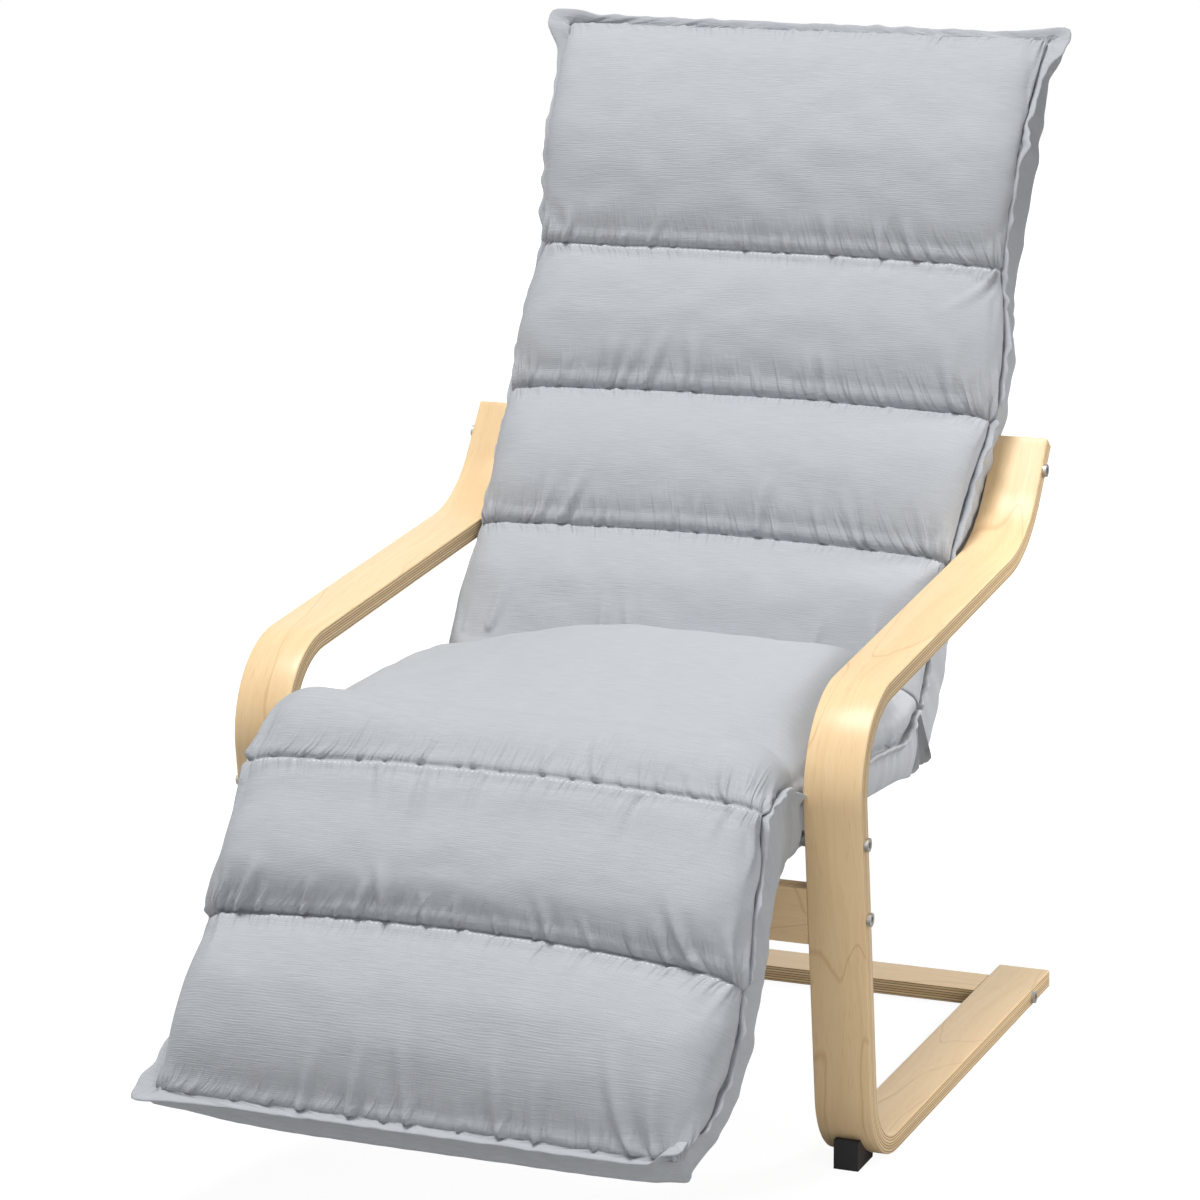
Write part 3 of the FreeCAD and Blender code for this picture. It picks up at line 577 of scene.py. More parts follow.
def spaced(marks, fine, coarse, growth=0.22):
    places = [marks[0]]
    for start, end in zip(marks, marks[1:]):
        steps, reach = [], 0.0
        while reach < end - start:
            from_seam = min(reach, max(end - start - reach, 0))
            step = min(coarse, fine + growth * from_seam)
            steps.append(step)
            reach += step
        steps = np.array(steps) * (end - start) / reach
        places.extend(start + np.cumsum(steps))
        places[-1] = end
    return np.array(places)


# %% [markdown]
# ## The quilt as a grid
#
# A quilt is made from a box: a cube is cut into a fine grid, and each point of the grid
# knows its column, row and layer. Layer 0 is the front cloth. The next layers make the
# flange, which goes out and comes back, and the boxed side below it. The last layer is the
# cloth on the back. Because it is one grid, every seam stays closed.

# %% A grid in a box
# each layer of the flange: how far out of the fold it stands, and how high above it
flange_lip = ((9 * mm, 3.5 * mm), (14 * mm, 2.5 * mm), (14 * mm, -1 * mm), (3 * mm, -4.5 * mm))
# each layer of the boxed side: its share of the way from the flange to the back
side_shares = (0.30, 0.62, 0.90)
layers = len(flange_lip) + len(side_shares) + 1


def box_grid(columns, rows):
    mesh = bmesh.new()
    bmesh.ops.create_cube(mesh, size=1)
    bmesh.ops.translate(mesh, vec=(0.5, 0.5, 0.5), verts=mesh.verts)
    for axis, count in enumerate((columns, rows, layers)):
        across = [e for e in mesh.edges if abs(e.verts[0].co[axis] - e.verts[1].co[axis]) > 0.5]
        bmesh.ops.subdivide_edges(mesh, edges=across, cuts=count - 1, use_grid_fill=True)
    return mesh


print("a quilt has", layers + 1, "layers of points")

# %% [markdown]
# Sewn cloth is never quite even. `wander` is a noise that gives the same small unevenness
# each time, `bell` is a soft bump, and `ease` is a soft step from 0 to 1.


# %% Soft shapes
def wander(seed, *coordinates):
    return noise.noise(Vector((*coordinates, 0, 0)[:3]) + Vector((seed, 7.3 * seed, 0)))


def bell(reach):
    return math.exp(-reach * reach)


def ease(share):
    share = min(max(share, 0), 1)
    return share * share * (3 - 2 * share)


# %% [markdown]
# ## From table to cloth
#
# A quilt first reads its table, and draws one smooth curve down the chair for each column of
# the grid. A real seam isn't straight: the filling pushes its middle and pulls its ends. So
# each seam has a bow, which moves the rows near it along the chair.


# %% Columns of a quilt
class Columns:
    row_steps, column_steps = (2.0 * mm, 7.0 * mm), (0.014, 0.022)
    bow_reach = 95 * mm

    def __init__(self, stations, seams, pinches, ears, twist, end_tilt, end_shape, seed):
        self.marks, self.rows = pattern(stations)
        self.seams = [(self.marks[s], a * mm, b * mm, r * mm) for s, a, b, r, *_ in seams]
        self.bows = [tuple(bow * mm for bow in bows) for *_, bows in seams]
        self.pinches = [(self.marks[s], side, a * mm, b * mm, r) for s, side, a, b, r in pinches]
        self.ears = {side: [size * mm for size in sizes] for side, sizes in ears.items()}
        self.twist = twist * mm
        self.end_tilt = math.radians(end_tilt)
        self.end_shape = end_shape
        self.seed = seed
        self.lengths = spaced([seam[0] for seam in self.seams], *self.row_steps)
        self.shares = spaced([-1.0, 1.0], *self.column_steps)
        self.values = np.array([self.down_column(share) for share in self.shares])
        # the open end begins a little after the first row, so that its cloth doesn't fold back
        self.values[:, 0] += 0.35 * (self.values[:, 1] - self.values[:, 0])
        ahead = self.values[0, -1, :2] - self.values[0, -2, :2]
        facing = math.radians(self.values[0, -1, 4])
        way = ahead[0] * math.sin(facing) - ahead[1] * math.cos(facing)
        self.end_way = math.copysign(1, way)

    def down_column(self, share):
        along = self.lengths.copy()
        for (mark, *_), (left, middle, right) in zip(self.seams, self.bows):
            side = left if share < 0 else right
            bow = middle + (side - middle) * share**2
            along += bow * np.clip(1 - np.abs(self.lengths - mark) / self.bow_reach, 0, 1)
        return smooth_rows(self.marks, self.rows, along)


# %% [markdown]
# Between two seams the cloth bulges like the top of a pillow: steep beside the seam and
# nearly level in the middle. Across the chair it is level too, and then rolls over its side
# and comes back under itself, to the fold where the flange begins. A pinch takes away some
# of the filling at one spot, where a hand has pressed it or the cushion is bent.


# %% Plump panels
class Panels(Columns):
    swell_shape, pinch_lean = 0.55, 20 * mm
    # the front cloth is level to this share of the half width, then rolls over its side
    level_share, roll, roll_radius = 0.70, math.radians(125), 52 * mm
    end_roll = 8 * mm

    def profile(self, share, along, plump, less):
        full = plump - less * share**2
        nearest = min(self.seams, key=lambda seam: abs(along - seam[0]) / seam[3])
        at_end_seam = nearest is self.seams[-1]
        reach = min(abs(along - nearest[0]) / nearest[3], 1)
        swell = (1 - (1 - reach) ** 2) ** (self.end_shape if at_end_seam else self.swell_shape)
        low = nearest[1] + nearest[2] * (1 - share**2)
        height = low + (full - low) * swell
        for mark, side, deep, wide, inner in self.pinches:
            if side * share > 0:
                fade = ease((abs(share) - inner) / (1 - inner))
                past = along - mark - self.pinch_lean * (1 - abs(share))
                height -= deep * fade * bell(past / wide)
        over = self.end_roll * 4 * swell * (1 - swell) if at_end_seam else 0.0
        return height, height / full, over

    def across(self, share, height, fullness, crease):
        radius = self.roll_radius * (0.25 + 0.75 * fullness)
        level = crease - radius * math.sin(self.roll)
        if abs(share) < self.level_share:
            return share / self.level_share * level, height
        turn = self.roll * (abs(share) - self.level_share) / (1 - self.level_share)
        left = (math.cos(turn) - math.cos(self.roll)) / (1 - math.cos(self.roll))
        return math.copysign(level + radius * math.sin(turn), share), height * left


# %% [markdown]
# All layers of one column and row share a few values: which way is out of the quilt and
# which way is up the chair, where the fold of the flange lies, and where the back lies. The
# fold wavers as a hand sewn seam does, and the back is tucked in under the end.


# %% One point of the grid
class GridPoint:
    rear_inset, fold_inset, fold_depth = 12 * mm, 9 * mm, 3.5 * mm
    # how much of the tuck under the end each side has
    left_tuck, right_tuck = 1.0, 0.2

    def __init__(self, quilt, column, row):
        y, z, rear_y, rear_z, facing, plump, less, left, right = quilt.values[column, row]
        share, along = quilt.shares[column], quilt.lengths[row]
        from_end = quilt.lengths[-1] - along
        facing = math.radians(facing)
        self.out = out = Vector((math.cos(facing), math.sin(facing)))
        self.up_chair = up_chair = Vector((out.y, -out.x))
        self.share, self.front_size = share, (share, along, plump, less)
        self.half = left if share < 0 else right
        self.side = math.copysign(1, share)
        self.at_end = row == len(quilt.lengths) - 1
        self.sideways = self.side if abs(share) == 1 else 0
        self.endways = quilt.end_way if self.at_end else 0
        self.ear_x, ear_along, ear_rise, self.corner = quilt.ear(share, from_end)
        waver = wander(quilt.seed, along * 30, share * 7)
        self.ripple = wander(quilt.seed + 3, along * 62 + 5, share * 17)
        self.flutter = wander(quilt.seed + 6, along * 62 + 9, share * 17)
        near_side, near_end = ease((abs(share) - 0.9) * 10), ease(1 - from_end / (24 * mm))
        self.crease = self.half - self.fold_inset + 5 * mm * self.ripple * near_side
        start = Vector((y, z)) + out * (2.0 * mm * waver + ear_rise) + up_chair * ear_along
        self.fold = start - out * self.fold_depth + up_chair * 2 * mm * self.flutter * near_end
        blunt = ease((abs(share) - 0.88) / 0.12) + ease(1 - from_end / (26 * mm))
        tuck = bell(from_end / (48 * mm)) * (self.left_tuck if share < 0 else self.right_tuck)
        self.rear = Vector((rear_y, rear_z)) + out * 9 * mm * min(blunt, 1.2)
        self.rear -= up_chair * quilt.end_way * 20 * mm * tuck * share**6
        self.inset = self.rear_inset + 20 * mm * tuck


# %% [markdown]
# The flange is the pinched lip where the front cloth and the boxed side are sewn together.
# At each end corner it is pulled out or in, as an ear. Below it the side bulges. Each kind
# of layer has a method, which says how far to the side a point lies, and where it lies in
# the side view.


# %% Layers of the quilt
class Layers(Panels):
    corner_inset, corner_reach = 8 * mm, 34 * mm
    ear_half, twist_reach = 280 * mm, 220 * mm
    side_tilt = math.radians(15)
    # how unevenly the flange is sewn: at the end, on the right and on the left
    end_sway, right_sway, left_sway = 1.5, 3, 1.2
    end_bulge, side_bulge = 12, 8

    def ear(self, share, from_end):
        side = 1 if share > 0 else -1
        out, ahead, rise, spread = self.ears[side]
        from_side = (1 - abs(share)) * self.ear_half
        pull = bell(from_side / spread) * bell(from_end / spread)
        near_corner = bell(from_side / self.corner_reach) * bell(from_end / self.corner_reach)
        twist = -share * self.twist * ease(1 - from_end / self.twist_reach)
        corner = self.corner_inset * near_corner
        return side * out * pull, self.end_way * ahead * pull, rise * pull + twist, corner

    def front(self, at):
        height, fullness, over = self.profile(*at.front_size)
        x, rise = self.across(at.share, height, fullness, at.crease)
        point = at.fold + at.out * rise + at.up_chair * self.end_way * (over - at.corner)
        return x + at.ear_x * 0.5 - at.side * at.corner, point

    def back(self, at):
        return at.share * (at.half - at.inset), at.rear - at.out * 3 * mm * (1 - at.share**2)

    def open_end(self, at, layer):
        height, fullness, _ = self.profile(*at.front_size)
        x, rise = self.across(at.share, height, fullness, at.crease)
        return x, (at.fold + at.out * rise).lerp(at.rear, layer / layers)

    def lip(self, at, layer):
        side_sway = self.right_sway if at.share > 0 else self.left_sway
        sway = (self.end_sway if at.at_end else side_sway) * mm
        reach, lift = flange_lip[layer - 1]
        reach += sway * at.flutter * (layer < len(flange_lip))
        tilt = self.end_tilt if at.at_end else self.side_tilt
        raised = lift + reach * math.sin(tilt) + sway * at.ripple
        point = at.fold + at.out * raised + at.up_chair * reach * at.endways * math.cos(tilt)
        out_of_side = at.sideways * reach * math.cos(self.side_tilt)
        return at.share * at.crease + out_of_side + at.ear_x, point

    def boxed_side(self, at, layer):
        down = side_shares[layer - 1 - len(flange_lip)]
        full_bulge = self.end_bulge if at.at_end else self.side_bulge
        bulge = full_bulge * mm * math.sin(math.pi * down**0.8)
        low = at.fold + at.out * flange_lip[-1][1]
        point = low.lerp(at.rear, down) + at.up_chair * at.endways * bulge
        x = at.share * (at.crease + (at.fold_inset - at.inset) * down**2) + at.sideways * bulge
        return x + at.ear_x * (1 - down), point

    def point(self, column, row, layer):
        at = GridPoint(self, column, row)
        if layer == 0:
            x, point = self.front(at)
        elif layer == layers:
            x, point = self.back(at)
        elif row == 0:
            x, point = self.open_end(at, layer)
        elif layer <= len(flange_lip):
            x, point = self.lip(at, layer)
        else:
            x, point = self.boxed_side(at, layer)
        return Vector((x, *point))


# %% [markdown]
# ## Marks and map
#
# Each point also keeps a few marks for the steps that follow: what a seam holds, how far
# across and along the cloth it lies, whether it is on the front or on the lip of the flange,
# and how strongly the cloth is gathered there. The map is the flat cut of the cloth, in
# metres, so that the weave has its true size everywhere.


# %% Marks on the cloth
class Marks(Layers):
    flat_half, layer_height, rear_shift = 275 * mm, 11 * mm, 1.0
    # how far the gathers reach on both sides of a seam, and in from the flange
    gather_ahead, gather_behind, gather_side = 36 * mm, 18 * mm, 16 * mm

    def flat(self, column, row, layer, wall):
        x, y = self.shares[column] * self.flat_half, self.lengths[row]
        down = layer * self.layer_height
        if wall == "side":
            return (x + math.copysign(down, x), y)
        if wall == "end":
            return (x, y + (down if row else -down))
        return (x, y) if wall == "front" else (x, y + self.rear_shift)

    def sewn(self, column, row, layer):
        along, share = self.lengths[row], self.shares[column]
        on_seam = any(abs(along - seam[0]) < 1 * mm for seam in self.seams)
        return 1.0 if layer or abs(share) == 1 or on_seam else 0.0

    def gathered(self, column, row, layer):
        if layer:
            return 0.0
        gaps = [(self.lengths[row] - seam[0]) * self.end_way for seam in self.seams[1:]]
        reaches = [self.gather_ahead if gap > 0 else -self.gather_behind for gap in gaps]
        pulls = [math.exp(-gap / reach) for gap, reach in zip(gaps, reaches)]
        from_side = (1 - abs(self.shares[column])) * self.flat_half
        return max(*pulls, 0.8 * math.exp(-from_side / self.gather_side))

    def marks_at(self, column, row, layer):
        on_lip = abs(self.shares[column]) == 1 and layer <= len(flange_lip)
        return {
            "sewn": self.sewn(column, row, layer),
            "across": self.shares[column] * self.flat_half,
            "along": self.lengths[row],
            "front": 0.0 if layer else 1.0,
            "lip": 1.0 if on_lip else 0.0,
            "gather": self.gathered(column, row, layer),
        }


# %% [markdown]
# To make the mesh, every point of the box grid is carried to its place, with its marks. The
# whole quilt stays smooth, because its soft edges come from its shape.


# %% Making a quilt
class Quilt(Marks):
    def lay_flat(self, mesh, cloth, index):
        for face in mesh.faces:
            face.smooth = True
            corners = [index[loop.vert] for loop in face.loops]
            low, high = np.min(corners, axis=0), np.max(corners, axis=0)
            same = low == high
            wall = "side" if same[0] else "end" if same[1] else "rear" if low[2] else "front"
            for loop, corner in zip(face.loops, corners):
                loop[cloth].uv = self.flat(*corner, wall)

    def make(self, name):
        counts = np.array((len(self.shares) - 1, len(self.lengths) - 1, layers))
        mesh = box_grid(counts[0], counts[1])
        cloth = mesh.loops.layers.uv.new("cloth")
        marks = {mark: mesh.verts.layers.float.new(mark) for mark in self.marks_at(0, 0, 0)}
        index = {
            vertex: tuple(np.rint(np.array(vertex.co) * counts).astype(int))
            for vertex in mesh.verts
        }
        self.lay_flat(mesh, cloth, index)
        for vertex, corner in index.items():
            vertex.co = self.point(*corner)
            for mark, value in self.marks_at(*corner).items():
                vertex[marks[mark]] = value
        bmesh.ops.recalc_face_normals(mesh, faces=mesh.faces[:])
        return finished(mesh, name, [], sharp=180)


# %% [markdown]
# Later steps change thousands of points at once. A loop in Python would be slow, so all
# places, or all values of one mark, are read into one array. `applied` makes the result of
# the modifiers the new mesh.


# %% Reading a mesh
def applied(piece):
    graph = bpy.context.evaluated_depsgraph_get()
    mesh = bpy.data.meshes.new_from_object(piece.evaluated_get(graph), depsgraph=graph)
    piece.modifiers.clear()
    piece.data = mesh


def read(piece, mark):
    values = np.zeros(len(piece.data.vertices), np.float32)
    piece.data.attributes[mark].data.foreach_get("value", values)
    return values


def spots(piece):
    places = np.zeros(len(piece.data.vertices) * 3, np.float32)
    piece.data.vertices.foreach_get("co", places)
    return places.reshape(-1, 3)


# %% [markdown]
# ## Filling the cushion
#
# Cloth that is cut a little too wide for its frame gathers when it is sewn and stuffed. The
# cloth simulation pushes the front out from inside. Every point on a seam, on the flange
# and on the back is held, and the cloth may grow by a few thousandths. Only half of each
# move is kept, at most seven millimetres, and none beside a seam, so that the panels keep
# the size that the pattern gives them. Then the mesh is made finer for the gathers.


# %% Stuffing
def stuff(piece, spare, pressure, frames, kept, most):
    held = piece.vertex_groups.new(name="held")
    held.add([int(number) for number in np.flatnonzero(read(piece, "sewn") > 0.5)], 1.0, "REPLACE")
    before = spots(piece)
    cloth = piece.modifiers.new("filling", "CLOTH")
    settings = cloth.settings
    settings.quality = 4
    settings.mass = 0.05
    settings.tension_stiffness = settings.compression_stiffness = 20
    settings.shear_stiffness = 8
    settings.bending_stiffness = 0.6
    settings.air_damping = 3
    settings.vertex_group_mass = "held"
    settings.shrink_min = -spare
    settings.use_pressure = True
    settings.uniform_pressure_force = pressure
    settings.effector_weights.gravity = 0
    cloth.collision_settings.use_collision = False
    for number in range(1, frames + 1):
        bpy.context.scene.frame_set(number)
    applied(piece)
    bpy.context.scene.frame_set(1)
    moves = (spots(piece) - before) * kept * (1 - read(piece, "gather"))[:, None]
    sizes = np.linalg.norm(moves, axis=1, keepdims=True)
    after = before + moves * np.minimum(1, most / np.maximum(sizes, 1e-9))
    piece.data.vertices.foreach_set("co", after.ravel())
    mean, largest = (round(float(size) / mm, 1) for size in (sizes.mean(), sizes.max()))
    print(piece.name, "was pushed out by", mean, "mm, and by", largest, "mm at most")


def subdivided(piece):
    finer = piece.modifiers.new("finer", "SUBSURF")
    finer.levels = finer.render_levels = 1
    applied(piece)


# %% [markdown]
# ## Gathers
#
# Beside every seam the cloth stands in small creases, because it is wider than the seam
# that holds it. They could come from the simulation alone, but it would need a far finer
# mesh. So each crease is pressed into the cloth along its normals: a narrow valley between
# two soft ridges, deepest a little way from the seam, that leans a few degrees and dies out
# in the panel. Chance sets where they stand, how long they are and how deep.


# %% Creases
class Gathers:
    half_row, most_lean = 262 * mm, 0.14
    # the softness of the whole front, and how far the lip of the flange sways to each side
    unevenness, right_zigzag, left_zigzag = 1.1 * mm, 2.8 * mm, 1.0 * mm

    def __init__(self, seed):
        self.chance = random.Random(seed)
        self.list = []

    def row(self, along, way, count, length, depth):
        pick = self.chance.uniform
        for number in range(count):
            x = self.half_row * ((number + pick(0.1, 0.9)) / count * 2 - 1)
            size = pick(0, 1) ** 1.7
            reach, deep = length * mm * (0.3 + 0.9 * size), depth * mm * (0.7 + 1.0 * size)
            wide, lean = (3.8 + 5.4 * size) * mm, pick(-self.most_lean, self.most_lean)
            self.list.append((x, along, way, reach, deep, wide, lean))

    def one(self, x, along, way, length, depth, wide, lean):
        self.list.append((x * mm, along, way, length * mm, depth * mm, wide * mm, lean))

    def press(self, piece):
        across, along, front = read(piece, "across"), read(piece, "along"), read(piece, "front")
        depth = np.zeros(len(across))
        for x, start, way, reach, deep, wide, lean in self.list:
            t = (along - start) * way / reach
            near = (t > 0) & (t < 1)
            bow = lean * reach * t * (1 + 0.5 * t)
            q = (across - x - bow) / (wide * (0.6 + 0.7 * t))
            fade = np.clip(t / 0.09, 0, 1) * np.clip(1 - t, 0, 1) ** 1.3
            depth += np.where(near, deep * (1 - 1.6 * q * q) * np.exp(-q * q) * fade, 0)
        soft = np.array([noise.noise(Vector((a * 26, b * 9, 3.1))) for a, b in zip(across, along)])
        depth += self.unevenness * soft
        normals = np.zeros(len(across) * 3, np.float32)
        piece.data.vertex_normals.foreach_get("vector", normals)
        places = spots(piece) - normals.reshape(-1, 3) * (depth * (front > 0.75))[:, None]
        where = zip(along, across)
        zigzag = np.array([noise.noise(Vector((a * 105, c * 9, 8.8))) for a, c in where])
        sway = np.where(across > 0, self.right_zigzag, self.left_zigzag)
        places[:, 0] += sway * zigzag * read(piece, "lip")
        piece.data.vertices.foreach_set("co", places.astype(np.float32).ravel())
        piece.data.update()


# %% [markdown]
# ## The ribbed cloth
#
# The cover is a fine ribbed weave in a light blue grey. Each rib is a soft ridge across the
# chair, two millimetres wide, and is broken up by uneven threads. The ribs follow the map
# of the cut cloth, so that they bend with every panel. The finest creases, which are too
# small for the mesh, are drawn with a bump where the `gather` mark says that the cloth is
# gathered.


# %% Cloth paint
rib_width = 2.0 * mm
dark_cloth, light_cloth = (0.400, 0.420, 0.450), (0.520, 0.542, 0.570)
cloudy_cloth = (0.48, 0.50, 0.525)


def gather_creases(paint, x, y):
    gather = paint.node("ShaderNodeAttribute", {"attribute_name": "gather"}, output="Fac")
    patchy = gather - paint.noise(paint.join(x * 24, y * 7), 1.0, 2.0) * 0.55
    folds = paint.noise(paint.join(x * 85 + y * 14, y * 9), 1.0, 2.0)
    valleys = paint.ramp(folds, (0.40, 1.0), (0.5, 0.0), (0.60, 1.0))
    return valleys * paint.ramp(patchy, (0.0, 0.0), (0.35, 1.0)) * 4.6


def cloth_paint():
    matt = {"Sheen_Weight": 0.12, "Specular_IOR_Level": 0.15}
    paint = Paint("ribbed_cloth", (0.46, 0.48, 0.505), 0.9, **matt)
    x, y, _ = paint.split(paint.map("cloth"))
    bend = paint.noise(paint.join(x * 5, y * 3), 4.0, 2.0) * 0.005
    rib = ((y + bend) / rib_width).math("PINGPONG", 0.5) * 2
    streak = paint.noise(paint.join(x * 45, y * 560), 1.0, 3.0, 0.6)
    slub = paint.ramp(streak, (0.36, 0.0), (0.66, 1.0))
    threads = paint.noise(paint.join(x * 500, y * 700), 1.0, 1.0)
    cloud = paint.noise(paint.join(x * 9, y * 16), 1.0, 3.0, 0.6)
    soft = paint.ramp(rib, (0.0, 0.0), (0.55, 0.8), (1.0, 1.0))
    light = soft * 0.30 + slub * 0.40 + threads * 0.30
    colour = paint.mix(light, dark_cloth, light_cloth)
    paint.feed("Base Color", paint.mix(cloud * 0.3, colour, cloudy_cloth))
    relief = soft * 0.4 + slub * 0.5 + threads * 0.3 + gather_creases(paint, x, y)
    paint.feed("Normal", paint.bump(relief, 0.45 * mm, 0.6))
    return paint


cover = cloth_paint()
print("cloth:", len(cover.tree.nodes), "nodes")

# %% [markdown]
# A cushion goes through all the steps: it is sewn, filled, made finer and gathered. It takes
# the place of two CAD cushions.


# %% From quilt to cushion
def cushion(quilt, gathers, name, nodes):
    piece = quilt.make(name)
    piece.data.materials.append(cover.material)
    stuff(piece, spare=0.004, pressure=40, frames=14, kept=0.5, most=7 * mm)
    subdivided(piece)
    gathers.press(piece)
    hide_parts(*nodes)
    print(piece.name, len(piece.data.polygons), "faces")
    return piece


# %% [markdown]
# ## Stitches
#
# A row of stitches in a pale thread runs beside each seam. Each one is a tiny rounded bead,
# longer than it is wide, that lies in the cloth. Its place is read from the finished cloth,
# so that the row follows each gather.

# %% Stitches
stitch_pitch, stitch_length = 5.6 * mm, 3.9 * mm
stitch_width, stitch_height = 1.8 * mm, 1.6 * mm
stitch_lift, row_start, row_stop = 0.5 * mm, 6 * mm, 10 * mm
thread = Paint("pale_thread", (0.60, 0.62, 0.65), 0.8)
fluff = thread.noise(thread.place(), 900, 2.0)
thread.feed("Base Color", thread.mix(fluff, (0.72, 0.75, 0.80), (0.86, 0.88, 0.92)))


def seam_line(rows, along, front, places, normals, seam):
    row = rows[np.argmin(np.abs(rows - seam))]
    on_line = np.flatnonzero((np.abs(along - row) < 0.1 * mm) & (front > 0.99))
    on_line = on_line[np.argsort(places[on_line][:, 0])]
    return np.hstack((places[on_line], normals[on_line]))


def sew(mesh, line):
    steps = np.linalg.norm(np.diff(line[:, :3], axis=0), axis=1)
    reach = np.concatenate(([0], np.cumsum(steps)))
    for start in np.arange(row_start, reach[-1] - row_stop, stitch_pitch):
        ends = [
            [np.interp(where, reach, line[:, k]) for k in range(6)]
            for where in (start, start + stitch_length)
        ]
        first, last = (Vector(end[:3]) for end in ends)
        middle = (first + last) / 2 + Vector(ends[0][3:]) * stitch_lift
        turn = (last - first).to_track_quat("X", "Z").to_matrix().to_4x4()
        size = Matrix.Diagonal((stitch_length / 2, stitch_width / 2, stitch_height / 2, 1))
        bead = Matrix.Translation(middle) @ turn @ size
        bmesh.ops.create_icosphere(mesh, subdivisions=1, radius=1, matrix=bead)


def stitches(piece, seams, name, beside):
    along, front, places = read(piece, "along"), read(piece, "front"), spots(piece)
    rows = np.unique(along[front > 0.99])
    normals = np.zeros(len(along) * 3, np.float32)
    piece.data.vertex_normals.foreach_get("vector", normals)
    normals = normals.reshape(-1, 3)
    mesh = bmesh.new()
    for seam in seams:
        sew(mesh, seam_line(rows, along, front, places, normals, seam + beside))
    for face in mesh.faces:
        face.smooth = True
    made = finished(mesh, name, [thread], sharp=180)
    print(name, len(made.data.polygons), "faces")
    return made


# %% [markdown]
# ## The two cushions
#
# Each cushion bends over a hinge. Here its place is only baked into its mesh: the two points
# on a line through the hinge are worked out, but nothing uses them, and no blend joins the
# cloth to the two bodies.


# %% Baking the place of a cushion
def across_joint(piece, pivot, angle, start, end):
    first, last = go(pivot, angle, start), go(pivot, angle, end)
    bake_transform(piece)


# %% [markdown]
# The back and head cushion starts in the fold at the seat, where it is open, and ends above
# the head. More gathers stand above a seam than below it, because the panels hang. The ears
# at the top say how far each end corner is pulled out, ahead and up, and over what reach.

# %% The back and head cushion
back_ears = {-1: (12, 2, 16, 26), 1: (20, 6, 2, 26)}
# station, side, depth, width, and the share of the half width where the pinch begins
back_pinches = [(10, 1, 6, 9, 0.70)]
top_end_shape = {"twist": 13, "end_tilt": 5, "end_shape": 0.55}
back_quilt = Quilt(back_stations, back_seams, back_pinches, back_ears, seed=2, **top_end_shape)
back_gathers = Gathers(seed=11)
fold, low_seam, mid_seam, neck_seam, top_end = (seam[0] for seam in back_quilt.seams)
for seam, above, length_above, below, length_below in (
    (low_seam, 22, 62, 9, 34),
    (mid_seam, 22, 62, 9, 34),
    (neck_seam, 19, 48, 8, 28),
):
    back_gathers.row(seam, 1, above, length_above, 5.4)
    back_gathers.row(seam, -1, below, length_below, 1.8)
back_gathers.row(top_end, -1, 12, 45, 1.8)
back_gathers.row(fold + 20 * mm, 1, 10, 80, 4.0)
back_gathers.one(232, neck_seam, -1, 70, 9, 10, -0.5)
back_gathers.one(250, neck_seam, 1, 45, 4, 8, -0.4)

back_nodes = ["back_cushion", "head_cushion"]
back_piece = cushion(back_quilt, back_gathers, "back_and_head_cushion", back_nodes)
sewn_seams = (low_seam, mid_seam, neck_seam)
back_stitches = stitches(back_piece, sewn_seams, "back_seam_stitches", beside=-3 * mm)
for piece in (back_piece, back_stitches):
    across_joint(piece, neck, 67, -50 * mm, 60 * mm)

# %% [markdown]
# The seat and leg cushion starts in the same fold and ends at the toes, where its flange is
# turned to the front. The pinches shape the seat, which is lower on one side, and the knee,
# where the cloth is pressed in at both sides. A pinch with a depth below zero is a bulge.

# %% The seat and leg cushion
seat_ears = {-1: (15, 5, 2, 26), 1: (-13, -12, 8, 24)}
seat_pinches = [
    (5, 1, 18, 26, 0.30),
    (5, -1, 11, 20, 0.50),
    (6, -1, -20, 40, 0.1),
    (3, -1, 30, 100, 0.0),
    (2, -1, 38, 90, 0.0),
]
toe_end_shape = {"twist": 0, "end_tilt": 40, "end_shape": 0.88}
seat_quilt = Quilt(seat_stations, seat_seams, seat_pinches, seat_ears, seed=5, **toe_end_shape)
seat_gathers = Gathers(seed=23)
knee_seam, calf_seam, toe_end = (seam[0] for seam in seat_quilt.seams[1:])
seat_gathers.row(knee_seam, -1, 20, 66, 5.4)
seat_gathers.row(knee_seam, 1, 12, 74, 3.6)
seat_gathers.row(calf_seam, -1, 19, 78, 6.4)
seat_gathers.row(calf_seam, 1, 12, 52, 2.4)
seat_gathers.row(toe_end, -1, 17, 92, 6.6)

seat_nodes = ["seat_cushion", "leg_cushion"]
seat_piece = cushion(seat_quilt, seat_gathers, "seat_and_leg_cushion", seat_nodes)
sewn_seams = (knee_seam, calf_seam)
seat_stitches = stitches(seat_piece, sewn_seams, "leg_seam_stitches", beside=3 * mm)
for piece in (seat_piece, seat_stitches):
    across_joint(piece, knee, 206.9, -88 * mm, 55 * mm)

# %% [markdown]
# ## Hard parts
#
# The CAD parts keep their shapes and get a finish each. The two rails are ply boards too,
# but they have no map. So the depth into the board, measured along its normal, decides
# whether a point lies on a broad face, which shows veneer, or on an edge, which shows ply.


# %% Rails
def board_paint(name, normal, face):
    thickness, face_veneer = 18 * mm, 0.6 * mm
    paint = Paint(name, pale_birch, 0.45, Specular_IOR_Level=0.3, Coat_Weight=0.08)
    spot = paint.place()
    across = paint.split(spot)[0]
    depth = spot.dot(normal) - face
    height = spot.dot((0, -normal[2], normal[1]))
    from_middle = (depth - thickness / 2).math("ABSOLUTE")
    on_edge = from_middle.math("LESS_THAN", thickness / 2 - face_veneer)
    face_colour, face_height = veneer_colour(paint, across, height)
    edge_colour, _ = ply_colour(paint, across, height, depth)
    paint.feed("Base Color", paint.mix(on_edge, face_colour, edge_colour))
    paint.feed("Roughness", face_height * 0.08 + 0.34)
    return paint


